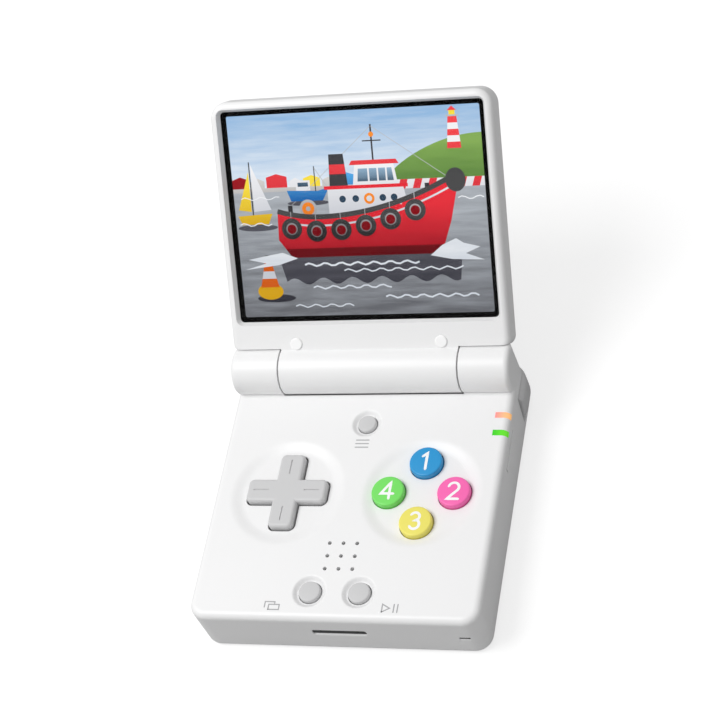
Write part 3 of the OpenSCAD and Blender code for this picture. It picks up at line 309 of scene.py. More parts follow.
def mould_grain_group():
    """Colour drift, roughness drift and fine grain of a moulded surface."""
    tree, given, sink = new_group(
        "Mould Grain",
        [("Colour", "NodeSocketColor", (0.8, 0.8, 0.8, 1)), ("Drift", "NodeSocketFloat", 0.02),
         ("Roughness", "NodeSocketFloat", 0.45), ("Grain Scale", "NodeSocketFloat", 3000),
         ("Grain", "NodeSocketFloat", 0.5)],
        FINISH_OUTPUTS)
    place = node(tree, "ShaderNodeTexCoord", (-1100, -300)).outputs["Object"]
    broad = node(tree, "ShaderNodeTexNoise", (-700, 250), Vector=place, Scale=38, Detail=3)
    fine = node(tree, "ShaderNodeTexNoise", (-700, -250), Vector=place, Scale=given["Grain Scale"],
                Detail=2, Roughness=0.6)
    centred = math_node(tree, "SUBTRACT", (broad.outputs["Fac"], 0.5), (-500, 250))
    shift = math_node(tree, "MULTIPLY", (centred, given["Drift"]), (-300, 250))
    factor = math_node(tree, "ADD", (shift, 1.0), (-120, 250))
    rough_shift = math_node(tree, "MULTIPLY", (centred, 0.12), (-300, 50))
    set_inputs(
        sink,
        Colour=scaled(tree, given["Colour"], factor, (100, 250)),
        Roughness=math_node(tree, "ADD", (given["Roughness"], rough_shift), (100, 50)),
        Height=math_node(tree, "MULTIPLY", (fine.outputs["Fac"], given["Grain"]), (100, -200)))
    return tree


def brushed_group():
    """Fine lines along one direction for ground and rolled metal."""
    tree, given, sink = new_group(
        "Brushed Lines",
        [("Colour", "NodeSocketColor", (0.6, 0.6, 0.6, 1)), ("Roughness", "NodeSocketFloat", 0.3),
         ("Line Scale", "NodeSocketFloat", 900)],
        FINISH_OUTPUTS)
    place = node(tree, "ShaderNodeTexCoord", (-1100, 0)).outputs["Object"]
    stretch = node(tree, "ShaderNodeMapping", (-900, -200), Vector=place, Scale=(0.06, 1, 1))
    lines = node(tree, "ShaderNodeTexNoise", (-650, -100), Vector=stretch.outputs["Vector"],
                 Scale=given["Line Scale"], Detail=4).outputs["Fac"]
    shade = math_node(tree, "MULTIPLY_ADD", (lines, 0.3, 0.85), (-400, 100))
    spread = math_node(tree, "MULTIPLY", (lines, 0.2), (-400, -50))
    set_inputs(
        sink,
        Colour=scaled(tree, given["Colour"], shade, (-200, 100)),
        Roughness=math_node(tree, "ADD", (given["Roughness"], spread), (-200, -50)),
        Height=lines)
    return tree


def group_node(tree, name, make, at, **inputs):
    """A node that holds the group of that name, which make builds the first time."""
    made = node(tree, "ShaderNodeGroup", at)
    made.node_tree = bpy.data.node_groups.get(name) or make()
    set_inputs(made, **inputs)
    return made.outputs


def blank_material(name):
    """A node material with only a Principled BSDF and its output."""
    material = bpy.data.materials.new(name)
    material.use_nodes = True
    tree = material.node_tree
    return material, tree, tree.nodes["Principled BSDF"]


def dressed(name, group, make, given, bump, **shader_inputs):
    """A material whose colour, roughness and bump come from a shared group with given inputs."""
    material, tree, shader = blank_material(name)
    effect = group_node(tree, group, make, (-500, 100), **given)
    relief = node(tree, "ShaderNodeBump", (-250, -200), Strength=bump, Distance=RELIEF,
                  Height=effect["Height"])
    set_inputs(shader, Base_Color=effect["Colour"], Roughness=effect["Roughness"],
               Normal=relief.outputs["Normal"], **shader_inputs)
    return material


def moulded(name, colour, roughness=0.42, scale=3000, drift=0.02, bump=0.15, **shader_inputs):
    """Injection moulded plastic or rubber, or a printed ink."""
    given = {"Colour": (*colour, 1), "Drift": drift, "Roughness": roughness, "Grain_Scale": scale}
    return dressed(name, "Mould Grain", mould_grain_group, given, bump, **shader_inputs)


def brushed(name, colour, roughness=0.28):
    """Plated, rolled or ground metal."""
    given = {"Colour": (*colour, 1), "Roughness": roughness}
    return dressed(name, "Brushed Lines", brushed_group, given, bump=0.12, Metallic=1.0)


def black_nylon():
    """Material of the sockets and the switches, and of the black sheet of painted shade in the notch, made
    once.
    """
    made = bpy.data.materials.get("black_nylon")
    return made or moulded("black_nylon", (0.012, 0.012, 0.013), roughness=0.45)


def finish(material, *nodes):
    """Gives nodes of the construction one material."""
    for name in nodes:
        mesh = frame["nodes"][name].data
        mesh.materials.clear()
        mesh.materials.append(material)


# ---- Mouldings ----

# The action buttons, clockwise from the top
SIDES = ("top", "right", "bottom", "left")


class CONSOLE_OT_mould_shell(bpy.types.Operator):
    """Gives the base, the lid and the side keys their satin white finish"""

    bl_idname = "console.mould_shell"
    bl_label = "Mould shell"

    def execute(self, context):
        colours = context.scene.console_colours
        white = moulded("shell_plastic", colours.shell, roughness=0.38, scale=4200, drift=0.012, bump=0.08)
        finish(white, "base_top_shell", "base_bottom_shell", "lid_bezel", "lid_cover", "power_key",
               "volume_rocker")
        soft = moulded("bumper_silicone", (0.97, 0.97, 0.97), roughness=0.5, drift=0.01)
        finish(soft, "lid_bumpers")
        return {"FINISHED"}


class CONSOLE_OT_mould_keys(bpy.types.Operator):
    """Gives the pad and the buttons their colours"""

    bl_idname = "console.mould_keys"
    bl_label = "Mould keys"

    def execute(self, context):
        colours = context.scene.console_colours
        grey = moulded("key_plastic", colours.keys, roughness=0.45, scale=3600, drift=0.02, bump=0.12)
        finish(grey, "direction_pad", "menu_button", "select_button", "start_button",
               "shoulder_left_outer", "shoulder_left_inner", "shoulder_right_inner",
               "shoulder_right_outer")
        for side in SIDES:
            plastic = moulded("button_plastic_" + side, getattr(colours, side), roughness=0.36,
                              scale=3400, drift=0.03, bump=0.1)
            finish(plastic, "button_" + side)
        return {"FINISHED"}


# ---- Numbers and icons ----

def numeral_strokes(numeral):
    """Lines of a numeral in a box one unit high with its middle at the origin."""
    if numeral == 1:
        return [[(-0.17, 0.3), (0.06, 0.5), (0.06, -0.5)]]
    if numeral == 2:
        bow = arc((0, 0.21), 0.29, 165, -38, 14)
        return [bow + [(-0.3, -0.5), (0.32, -0.5)]]
    if numeral == 3:
        upper = arc((-0.02, 0.25), 0.25, 150, -90, 14)
        lower = arc((-0.01, -0.22), 0.28, 88, -150, 14)
        return [upper + lower[1:]]
    return [[(0.14, -0.5), (0.14, 0.5), (-0.34, -0.2), (0.36, -0.2)]]


def crown_height(button, place, lift):
    """The height of ink on a button's crown over the plane of place, as a function of x and y."""
    cap = frame["nodes"][button]

    def height_at(x, y):
        hit, at, *_ = cap.ray_cast(place @ Vector((x, y, MM)), (0, 0, -1))
        if not hit:
            raise RuntimeError("The number reaches past " + button)
        return at.z - place.translation.z + lift

    return height_at


class CONSOLE_OT_number_buttons(bpy.types.Operator):
    """Prints a number on each action button, clockwise from the top"""

    bl_idname = "console.number_buttons"
    bl_label = "Number buttons"

    def execute(self, context):
        prints = context.scene.console_print
        colour = context.scene.console_colours.legend
        legend = moulded("legend_ink", colour, roughness=0.4, drift=0.01, bump=0.03)
        for i, side in enumerate(SIDES):
            button = "button_" + side
            middle, top = centre_of(button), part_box(button)[1].z
            place = Matrix.Translation((middle.x, middle.y, top))
            ink("number_" + side, numeral_strokes(i + 1), prints.number_height,
                prints.number_stroke, place, crown_height(button, place, prints.lift), legend, button)
        return {"FINISHED"}


# How far the small buttons stand over the button face
SMALL_BUTTON_RISE = 0.2 * MM
# Lines of the icons, in icon heights
BARS = [[(-0.8, y), (0.8, y)] for y in (-0.5, 0.0, 0.5)]
BACK_CARD = [(-1.1, -0.2), (-1.1, 0.5), (0.1, 0.5), (0.1, 0.3)]
FRONT_CARD = [(-0.6, -0.5), (0.7, -0.5), (0.7, 0.15), (-0.6, 0.15), (-0.6, -0.5)]
PLAY = [(-0.9, -0.5), (-0.9, 0.5), (0.0, 0.0), (-0.9, -0.5)]
PAUSE = [[(x, -0.5), (x, 0.5)] for x in (0.5, 0.95)]
# Each icon's button, how far it is to the right of the button's middle and behind it, and its lines
ICONS = {
    "icon_menu": ("menu_button", (-0.3 * MM, -6.9 * MM), BARS),
    "icon_select": ("select_button", (-9.7 * MM, -4.7 * MM), [BACK_CARD, FRONT_CARD]),
    "icon_start": ("start_button", (9.7 * MM, -4.7 * MM), [PLAY, *PAUSE]),
}


class CONSOLE_OT_print_icons(bpy.types.Operator):
    """Prints plain icons beside the three small buttons"""

    bl_idname = "console.print_icons"
    bl_label = "Print icons"

    def execute(self, context):
        prints = context.scene.console_print
        colour = context.scene.console_colours.icons
        grey = moulded("icon_ink", colour, roughness=0.5, drift=0.01, bump=0.02)
        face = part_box("menu_button")[1].z - SMALL_BUTTON_RISE
        for name, (button, (right, back), strokes) in ICONS.items():
            middle = centre_of(button)
            place = Matrix.Translation((middle.x + right, middle.y + back, face))
            ink(name, strokes, prints.icon_height, prints.icon_stroke, place,
                lambda x, y: prints.lift, grey, "base")
        return {"FINISHED"}


# ---- Display ----

# The picture is drawn in millimetres from its middle. These are half its width and half its height
PICTURE_HALF = Vector((38.2, 29.8))
# Height of the horizon, left end of the headland, and middle of the lighthouse's foot
HORIZON = 8.0
HEADLAND_START = 9.0
LIGHTHOUSE = Vector((30.0, 17.5))
# Stern and bow of the tug, and the lowest point of its deck
STERN, BOW = -25.0, 31.0
LOW_DECK = Vector((-12.0, -0.6))
# Height of the lowest layer over the panel, and of one painted layer over the next
FIRST_LAYER = 0.002 * MM
LAYER = 0.007 * MM
# Paints: light tone, dark tone, heights where the tone turns from dark to light, and streaks
PAINTS = {
    "sky": ((0.80, 0.86, 0.92), (0.30, 0.49, 0.74), 30.0, 6.0, 0.35),
    "sea": ((0.42, 0.45, 0.49), (0.13, 0.135, 0.15), -34.0, 9.0, 0.5),
    "shadow": ((0.09, 0.09, 0.11), (0.03, 0.03, 0.04), -26.0, -10.0, 0.6),
    "foam": ((0.90, 0.92, 0.94), (0.62, 0.66, 0.72), -20.0, 10.0, 0.4),
    "grass": ((0.24, 0.42, 0.10), (0.10, 0.22, 0.05), 8.0, 20.0, 0.3),
    "stone": ((0.72, 0.70, 0.68), (0.45, 0.44, 0.44), 6.0, 12.0, 0.3),
    "red": ((0.80, 0.03, 0.045), (0.24, 0.004, 0.012), -14.0, 3.0, 0.15),
    "dark_red": ((0.36, 0.01, 0.016), (0.10, 0.003, 0.006), -14.0, 14.0, 0.2),
    "bright_red": ((0.92, 0.07, 0.08), (0.60, 0.02, 0.035), -4.0, 24.0, 0.1),
    "white": ((0.90, 0.90, 0.92), (0.55, 0.57, 0.62), -2.0, 14.0, 0.1),
    "black": ((0.055, 0.055, 0.062), (0.008, 0.008, 0.01), -12.0, 12.0, 0.3),
    "rubber": ((0.07, 0.07, 0.072), (0.012, 0.012, 0.013), -9.0, 1.0, 0.5),
    "glass": ((0.30, 0.46, 0.62), (0.03, 0.06, 0.10), 8.5, 13.0, 0.2),
    "yellow": ((0.95, 0.74, 0.06), (0.62, 0.34, 0.01), -4.0, 10.0, 0.1),
    "blue": ((0.10, 0.42, 0.82), (0.02, 0.14, 0.42), 5.0, 12.0, 0.1),
    "steel": ((0.50, 0.51, 0.53), (0.16, 0.16, 0.17), -6.0, 6.0, 0.2),
    "orange": ((0.95, 0.28, 0.03), (0.6, 0.1, 0.01), -6.0, 6.0, 0.1),
}


def block(x0, y0, x1, y1):
    """Outline of an upright rectangle."""
    return [(x0, y0), (x1, y0), (x1, y1), (x0, y1)]


def disc(x, y, radius, squash=1.0, steps=28):
    """Outline of a disc or an ellipse."""
    return [(px, y + (py - y) * squash) for px, py in arc((x, y), radius, 0, 360, steps)[:-1]]


def line(width, *points):
    """Outline of a straight-sided line through the points."""
    path = [Vector(p) for p in points]
    sides = ([], [])
    for i, p in enumerate(path):
        along = (path[min(i + 1, len(path) - 1)] - path[max(i - 1, 0)]).normalized()
        across = Vector((-along.y, along.x)) * width / 2
        sides[0].append(tuple(p + across))
        sides[1].append(tuple(p - across))
    return sides[0] + sides[1][::-1]


def deck_at(x):
    """Height of the tug's deck line: low behind the deckhouse and high at the bow."""
    rise = 0.0062 if x > LOW_DECK.x else 0.012
    return LOW_DECK.y + rise * (x - LOW_DECK.x) ** 2


def wave(x0, x1, y, height, length, step=1.2):
    """Points along a small wave, no further apart than step."""
    parts = max(2, math.ceil((x1 - x0) / step))
    out = []
    for i in range(parts + 1):
        way = (x1 - x0) * i / parts
        out.append((x0 + way, y + height * math.sin(2 * math.pi * way / length)))
    return out


def headland():
    """Outline of the green headland, which rises to the right."""
    right, foot, start_height, rise = PICTURE_HALF.x, HORIZON - 0.3, HORIZON + 1.2, 12.5
    parts = 16
    ridge = []
    for i in range(parts + 1):
        x = HEADLAND_START + (right - HEADLAND_START) * i / parts
        ridge.append((x, start_height + rise * math.sin(math.pi / 2 * i / parts) ** 0.7))
    return [(HEADLAND_START, foot), *ridge, (right, foot)]


def lighthouse():
    """A tapering tower in bands, with its gallery, lamp room and roof."""
    x, foot = LIGHTHOUSE
    band, taper, half = 1.8, 0.16, 2.1
    shapes = []
    for i in range(5):
        low, high = foot + band * i, foot + band * (i + 1)
        wide, thin = half - taper * i, half - taper * (i + 1)
        paint = "white" if i % 2 else "bright_red"
        shapes.append((paint, 3, [(x - wide, low), (x + wide, low), (x + thin, high), (x - thin, high)]))
    return shapes + [
        ("steel", 3, block(x - 1.8, foot + 9.0, x + 1.8, foot + 9.5)),
        ("yellow", 3, block(x - 0.9, foot + 9.5, x + 0.9, foot + 10.7)),
        ("bright_red", 3, [(x - 1.4, foot + 10.7), (x + 1.4, foot + 10.7), (x, foot + 12.0)]),
    ]


def scenery():
    """Sky, sea, coast and lighthouse, as (paint, layer, outline)."""
    half = PICTURE_HALF
    shapes = [
        ("sky", 0, block(-half.x, HORIZON, half.x, half.y)),
        ("sea", 0, block(-half.x, -half.y, half.x, HORIZON)),
        ("grass", 1, headland()),
    ]
    # Harbour wall with painted blocks
    quay_end, foot, top = 6.5, HORIZON - 1.4, HORIZON + 1.3
    shapes.append(("white", 2, block(quay_end, foot, half.x, top)))
    for i in range(7):
        x = 8 + 4.4 * i
        shapes.append(("bright_red", 3, [(x, foot), (x + 2.2, foot), (x + 3.1, top), (x + 0.9, top)]))
    shapes += lighthouse()
    # Sheds on the quay at the left: left edge, width, height and paint
    sheds = [(-half.x, 5.0, 2.6, "dark_red"), (-32.4, 4.2, 2.0, "stone"), (-27.6, 6.4, 3.1, "bright_red"),
             (-20.4, 3.6, 1.8, "white"), (-16.2, 5.2, 2.4, "yellow"), (-10.4, 4.0, 1.7, "stone"),
             (-5.8, 5.6, 2.8, "blue"), (0.4, 4.2, 2.0, "stone")]
    quay = HORIZON + 0.4
    shapes.append(("stone", 1, block(-half.x, HORIZON - 0.8, quay_end, quay)))
    for x, width, height, paint in sheds:
        eaves, ridge = quay + height, quay + height + 0.9
        shapes.append((paint, 2, [(x, quay), (x + width, quay), (x + width, eaves),
                                  (x + width / 2, ridge), (x, eaves)]))
    return shapes


def small_craft():
    """A yellow sailing boat, a blue trawler and a buoy."""
    return [
        # Sailing boat
        ("yellow", 4, [(-37.4, 0.4), (-36.2, -2.2), (-28.0, -2.2), (-26.6, 0.9)]),
        ("white", 4, [(-32.2, 1.6), (-32.2, 15.5), (-26.8, 2.0)]),
        ("yellow", 4, [(-33.0, 1.6), (-37.0, 2.2), (-33.0, 13.4)]),
        ("black", 4, line(0.35, (-32.6, 0.6), (-32.6, 16.2))),
        # Trawler
        ("blue", 4, [(-21.5, 7.4), (-20.4, 4.2), (-10.6, 4.2), (-8.4, 8.0), (-12.0, 7.0)]),
        ("white", 4, block(-18.6, 7.2, -14.2, 10.2)),
        ("glass", 5, block(-18.0, 8.4, -14.8, 9.6)),
        ("black", 4, line(0.3, (-12.6, 7.0), (-12.6, 14.2))),
        ("steel", 4, line(0.2, (-12.6, 13.8), (-9.0, 8.0))),
        # Shadows of both
        ("shadow", 3, disc(-31.5, -3.2, 6.2, 0.16)),
        ("shadow", 3, disc(-15.2, 3.6, 6.4, 0.13)),
        # Buoy in front
        ("shadow", 4, disc(-27.8, -24.3, 6.0, 0.2)),
        ("yellow", 5, disc(-29.5, -22.2, 4.0, 0.62)),
        ("orange", 6, [(-32.4, -21.0), (-26.6, -21.0), (-28.4, -13.6), (-30.6, -13.6)]),
        ("white", 7, [(-31.75, -18.4), (-27.25, -18.4), (-27.8, -16.2), (-31.2, -16.2)]),
        ("black", 7, block(-30.1, -13.6, -28.9, -11.4)),
    ]


def tug():
    """A red harbour tug with tyre fenders."""
    xs = [STERN + (BOW - STERN) * i / 24 for i in range(25)]
    deck = [(x, deck_at(x)) for x in xs]
    keel = [(27.5, -3.0), (24.0, -12.4), (-21.5, -12.4), (-25.4, -7.0)]
    bottom = [(24.9, -9.8), (24.0, -12.4), (-21.5, -12.4), (-23.4, -9.8)]
    shapes = [
        # Shadow on the water, hull with its bottom paint, white line, rubbing strip and bow fender
        ("shadow", 4, [(-26, -11.6), *wave(-24, 29, -19.5, 1.0, 9), (30, -11.6)]),
        ("red", 5, deck + keel),
        ("dark_red", 6, bottom),
        ("white", 6, line(0.55, *[(x, deck_at(x) - 2.6) for x in xs[1:]])),
        ("rubber", 7, line(1.5, *deck)),
        ("rubber", 8, disc(29.6, 8.6, 3.0, 1.15)),
        # Deckhouse, wheelhouse and roof
        ("white", 5, [(-9, -0.6), (15, 2.4), (14, 7.4), (-9, 7.4)]),
        ("white", 5, [(-1.2, 7.4), (12.6, 7.4), (11.6, 14.0), (-0.2, 14.0)]),
        ("glass", 6, [(0.4, 9.2), (11.4, 9.2), (10.9, 12.9), (0.8, 12.9)]),
        ("bright_red", 6, [(-1.8, 14.0), (13.2, 14.0), (12.4, 15.3), (-1.0, 15.3)]),
        ("red", 6, [(-10.0, 7.2), (15.4, 7.2), (15.4, 8.2), (-10.0, 8.2)]),
        # Funnel behind the wheelhouse
        ("black", 4, [(-8.2, 8.0), (-2.6, 8.0), (-3.4, 17.4), (-7.8, 17.4)]),
        ("bright_red", 5, [(-7.95, 11.6), (-2.95, 11.6), (-3.2, 14.4), (-7.85, 14.4)]),
        # Mast with its lamp and stays
        ("black", 4, line(0.5, (5.6, 15.0), (5.6, 25.5))),
        ("black", 4, line(0.35, (2.8, 20.8), (8.4, 20.8))),
        ("steel", 4, line(0.16, (5.6, 25.0), (28.6, 8.6))),
        ("steel", 4, line(0.16, (5.6, 25.0), (-22.6, 1.2))),
        ("orange", 5, disc(5.6, 22.6, 0.75)),
        # Towing winch, hook and bollards on the low deck
        ("steel", 5, disc(-15.4, 1.9, 2.7)),
        ("orange", 6, disc(-15.4, 1.9, 1.9)),
        ("steel", 7, disc(-15.4, 1.9, 0.7)),
        ("black", 5, block(-21.6, 0.2, -20.2, 3.0)),
        ("black", 5, block(20.4, 5.0, 21.8, 8.0)),
    ]
    # Pillars of the wheelhouse's window, portholes and life ring
    shapes += [("white", 7, block(x, 9.2, x + 0.5, 12.9)) for x in (3.6, 6.4, 9.0)]
    shapes += [("glass", 6, disc(x, 4.3, 1.0)) for x in (-4.6, -0.6, 7.6, 11.0)]
    shapes += [("orange", 6, disc(3.5, 4.2, 1.6)), ("white", 7, disc(3.5, 4.2, 0.85))]
    # Tyres along the hull, each on its chain
    for i in range(6):
        x = -21.0 + 7.6 * i
        y = deck_at(x) - 4.2
        shapes += [("rubber", 9, disc(x, y, 3.15)), ("steel", 10, disc(x, y, 1.75)),
                   ("dark_red", 11, disc(x, y - 0.1, 1.4)), ("steel", 8, line(0.22, (x, y), (x, y + 5.0)))]
    return shapes


def water():
    """Foam at the bow and the stern, and ripples in front."""
    shapes = [
        ("foam", 12, [(20.5, -12.9), (24.2, -10.0), (28.4, -8.2), (30.6, -9.6), (35.4, -10.8),
                      (31.0, -12.6), (36.5, -14.6), (27.0, -14.2)]),
        ("foam", 12, [(-20.0, -12.6), (-24.6, -10.8), (-29.8, -11.6), (-35.5, -12.6), (-30, -13.8),
                      (-36.8, -15.6), (-26.0, -14.4)]),
    ]
    # Ripples: height, left end, right end and width
    rows = [(-14.6, -18, 17, 0.55), (-16.6, -6, 30, 0.4), (-21.4, -16, 8, 0.45), (-24.6, 6, 34, 0.5),
            (-26.8, -22, -4, 0.35), (-2.2, -37, -27, 0.3), (3.4, 30, 37.6, 0.3), (5.4, -36, -24, 0.22)]
    shapes += [("foam", 12, line(width, *wave(x0, x1, y, 0.45, 5.0))) for y, x0, x1, width in rows]
    return shapes


def paint_group():
    """Tone of a painted area by its height in the picture, with soft streaks."""
    tree, given, sink = new_group(
        "Picture Paint",
        [("Light", "NodeSocketColor", (1, 1, 1, 1)), ("Dark", "NodeSocketColor", (0, 0, 0, 1)),
         ("Dark Height", "NodeSocketFloat", 0.0), ("Light Height", "NodeSocketFloat", 1.0),
         ("Streaks", "NodeSocketFloat", 0.2)],
        [("Colour", "NodeSocketColor")])
    coords = node(tree, "ShaderNodeUVMap", (-900, 0))
    coords.uv_map = "picture"
    place = coords.outputs["UV"]
    split = node(tree, "ShaderNodeSeparateXYZ", (-700, 200), Vector=place)
    tone = node(tree, "ShaderNodeMapRange", (-500, 200), Value=split.outputs["Y"],
                From_Min=given["Dark Height"], From_Max=given["Light Height"])
    stretch = node(tree, "ShaderNodeMapping", (-700, -100), Vector=place, Scale=(0.05, 0.45, 1))
    streak = node(tree, "ShaderNodeTexNoise", (-500, -100), Vector=stretch.outputs["Vector"],
                  Scale=1.0, Detail=5, Roughness=0.6)
    centred = math_node(tree, "SUBTRACT", (streak.outputs["Fac"], 0.5), (-300, -100))
    strong = math_node(tree, "MULTIPLY", (centred, 2.6), (-200, -100))
    shift = math_node(tree, "MULTIPLY", (strong, given["Streaks"]), (-100, -100))
    factor = math_node(tree, "ADD", (tone.outputs["Result"], shift), (50, 100))
    set_inputs(sink, Colour=mixed(tree, factor, given["Dark"], given["Light"], (250, 100)))
    return tree


def paint_material(name):
    """Glowing paint of the display's picture."""
    light, dark, dark_height, light_height, streaks = PAINTS[name]
    material, tree, shader = blank_material("picture_" + name)
    paint = group_node(tree, "Picture Paint", paint_group, (-300, 100), Light=(*light, 1),
                       Dark=(*dark, 1), Dark_Height=dark_height, Light_Height=light_height,
                       Streaks=streaks)
    set_inputs(shader, Emission_Color=paint["Colour"], Emission_Strength=1.0,
               Base_Color=(0, 0, 0, 1), Specular_IOR_Level=0, Roughness=1)
    return material


class CONSOLE_OT_light_display(bpy.types.Operator):
    """Lights the display with a picture of a tug in a harbour"""

    bl_idname = "console.light_display"
    bl_label = "Light display"

    def execute(self, context):
        low, high = lid_box("display_panel")
        middle = Vector((0, (low.y + high.y) / 2, high.z + FIRST_LAYER))
        areas = {}
        for paint, layer, outline in scenery() + small_craft() + tug() + water():
            areas.setdefault(paint, []).append((layer, outline))
        for paint, shapes in areas.items():
            vertices, faces, flat = [], [], []
            for layer, outline in shapes:
                start = len(vertices)
                for x, y in outline:
                    at = middle + Vector((x * MM, y * MM, layer * LAYER))
                    vertices.append(LID_PLACE @ at)
                    flat.append((x, y))
                faces.append(tuple(range(start, len(vertices))))
            new_piece("picture_" + paint, vertices, faces, paint_material(paint), "lid", flat)
        return {"FINISHED"}


class CONSOLE_OT_glaze_lens(bpy.types.Operator):
    """Gives the lens, its printed border and the display their finish"""

    bl_idname = "console.glaze_lens"
    bl_label = "Glaze lens"

    def execute(self, context):
        glass, tree, shader = blank_material("cover_glass")
        smear = node(tree, "ShaderNodeTexNoise", (-500, 0), Scale=60, Detail=4)
        spread = node(tree, "ShaderNodeMapRange", (-250, 0), Value=smear.outputs["Fac"],
                      To_Min=0.0, To_Max=0.03)
        set_inputs(shader, Base_Color=(1, 1, 1, 1), Roughness=spread.outputs["Result"],
                   Transmission_Weight=1.0, IOR=1.12)
        finish(glass, "screen_lens")
        finish(moulded("border_ink", (0.006, 0.006, 0.006), roughness=0.8, Specular_IOR_Level=0.0),
               "screen_mask", "display_cushion")
        finish(moulded("panel_glass", (0.01, 0.01, 0.012), roughness=0.2), "display_panel")
        return {"FINISHED"}


# ---- Light windows ----

# How much of a window is seen, from its outer end inwards
WINDOW_LENGTH = 4.6 * MM
# Each window's material, and its tones at the inner and the outer end
WINDOWS = {
    "light_pipe_front": ("glow_green", (0.01, 0.42, 0.0), (0.12, 0.66, 0.01)),
    "light_pipe_rear": ("glow_amber", (0.90, 0.20, 0.22), (0.96, 0.50, 0.17)),
}


def window_group():
    """Tone of a lit window from its inner end to its outer end."""
    tree, given, sink = new_group(
        "Window Glow",
        [("Inner", "NodeSocketColor", (0, 0, 0, 1)), ("Outer", "NodeSocketColor", (1, 1, 1, 1)),
         ("Inner End", "NodeSocketFloat", 0.0), ("Outer End", "NodeSocketFloat", 1.0)],
        [("Colour", "NodeSocketColor")])
    place = node(tree, "ShaderNodeTexCoord", (-700, -200)).outputs["Object"]
    split = node(tree, "ShaderNodeSeparateXYZ", (-500, -200), Vector=place)
    along = node(tree, "ShaderNodeMapRange", (-200, 0), Value=split.outputs["X"],
                 From_Min=given["Inner End"], From_Max=given["Outer End"])
    tone = mixed(tree, along.outputs["Result"], given["Inner"], given["Outer"], (200, 0))
    set_inputs(sink, Colour=tone)
    return tree


class CONSOLE_OT_light_windows(bpy.types.Operator):
    """Lights the two windows on the base's right edge"""

    bl_idname = "console.light_windows"
    bl_label = "Light windows"

    def execute(self, context):
        for pipe, (name, inner, outer) in WINDOWS.items():
            material, tree, shader = blank_material(name)
            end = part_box(pipe)[1].x
            glow = group_node(tree, "Window Glow", window_group, (-400, 0), Inner=(*inner, 1),
                              Outer=(*outer, 1), Inner_End=end - WINDOW_LENGTH, Outer_End=end)
            set_inputs(shader, Base_Color=glow["Colour"], Emission_Color=glow["Colour"],
                       Emission_Strength=0.45, Roughness=0.3)
            finish(material, pipe)
        finish(moulded("led_epoxy", (0.8, 0.75, 0.5), roughness=0.2), "indicator_leds")
        return {"FINISHED"}


# ---- Hardware and inside ----

class CONSOLE_OT_finish_hardware(bpy.types.Operator):
    """Gives the screws, pins, ports and sockets their finish"""

    bl_idname = "console.finish_hardware"
    bl_label = "Finish hardware"

    def execute(self, context):
        finish(brushed("screw_plating", (0.35, 0.35, 0.37)), "case_screws", "board_screws", "lid_screws")
        finish(brushed("ground_steel", (0.6, 0.6, 0.62), roughness=0.2), "shoulder_pins", "hinge_pin",
               "hinge_cartridge", "hinge_shaft")
        finish(brushed("tin_plate", (0.66, 0.66, 0.67), roughness=0.25), "usb_c_port", "shield_can")
        finish(black_nylon(), "headphone_jack", "card_socket", "memory_card", "side_switches",
               "shoulder_switches", "speaker")
        return {"FINISHED"}


# Painted shade in the pry notch, a black sheet for the shadow in the gap between the shells: how far its
# middle is from the base's right side, half its width, where it starts and ends behind the front wall's
# face, and where it starts and ends under the seam
PAINTED_SHADE_FROM_SIDE = 5.8 * MM
PAINTED_SHADE_HALF = 1.5 * MM
PAINTED_SHADE_BEHIND = (0.12 * MM, 0.34 * MM)
PAINTED_SHADE_UNDER = (0.03 * MM, 0.85 * MM)


class CONSOLE_OT_paint_notch_shade(bpy.types.Operator):
    """Adds a black sheet of painted shade in the notch for a pry tool, for the shadow in the gap between
    the shells
    """

    bl_idname = "console.darken_notch"
    bl_label = "Paint notch shade"

    def execute(self, context):
        shell_low, shell_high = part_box("base_bottom_shell")
        middle, front = shell_high.x - PAINTED_SHADE_FROM_SIDE, shell_low.y
        low = (middle - PAINTED_SHADE_HALF, front + PAINTED_SHADE_BEHIND[0], SEAM - PAINTED_SHADE_UNDER[1])
        high = (middle + PAINTED_SHADE_HALF, front + PAINTED_SHADE_BEHIND[1], SEAM - PAINTED_SHADE_UNDER[0])
        # The black sheet is painted shade: it stands for the shadow in the gap under the seam
        new_piece("painted_notch_shade", *cuboid(low, high), black_nylon(), "base")
        return {"FINISHED"}


class CONSOLE_OT_finish_inside(bpy.types.Operator):
    """Gives the boards, the battery, the membranes and the flat cable their finish"""

    bl_idname = "console.finish_inside"
    bl_label = "Finish inside"

    def execute(self, context):
        finish(moulded("solder_mask", (0.01, 0.09, 0.03), roughness=0.3), "main_board", "usb_board",
               "shoulder_boards")
        finish(brushed("battery_foil", (0.7, 0.7, 0.72), roughness=0.35), "battery")
        finish(moulded("membrane_rubber", (0.1, 0.1, 0.11), roughness=0.7), "pad_membrane",
               "action_membrane", "menu_membrane", "start_select_membrane")
        finish(moulded("acetal", (0.82, 0.82, 0.82), roughness=0.25), "pad_pivot_ball")
        finish(moulded("polyimide", (0.4, 0.16, 0.02), roughness=0.3), "display_flex")
        return {"FINISHED"}


# ---- Studio ----

# Where the camera stands, its right and upward axes, and its focal length and its sensor's width
# in millimetres
CAMERA_AT = Vector((0.2029, -0.29828, 0.52187))
CAMERA_RIGHT = Vector((0.94550879, 0.16892617, -0.27834704))
CAMERA_UP = Vector((0.01470432, 0.83185722, 0.55479487))
CAMERA_LENS = 108.586
CAMERA_SENSOR = 36
# Where the key light stands, above and to the left of the console, and its width
KEY_AT = Vector((-0.42, -0.11, 0.85))
KEY_WIDTH = 0.5
# Half of the floor's width, and how far it lies under the console
FLOOR_REACH = 4.0
FLOOR_DROP = 0.05 * MM
# Darkest and lightest tone of the floor's fibres
FLOOR_TONES = (0.41, 0.43)
# The camera sees a glow on the floor, so that the paper looks nearly white but keeps its shadow.
# These are its strengths near the console and far from it, and the distances where it changes.
GLOW_NEAR, GLOW_FAR = 0.68, 1.0
GLOW_START, GLOW_END = 0.2, 0.9


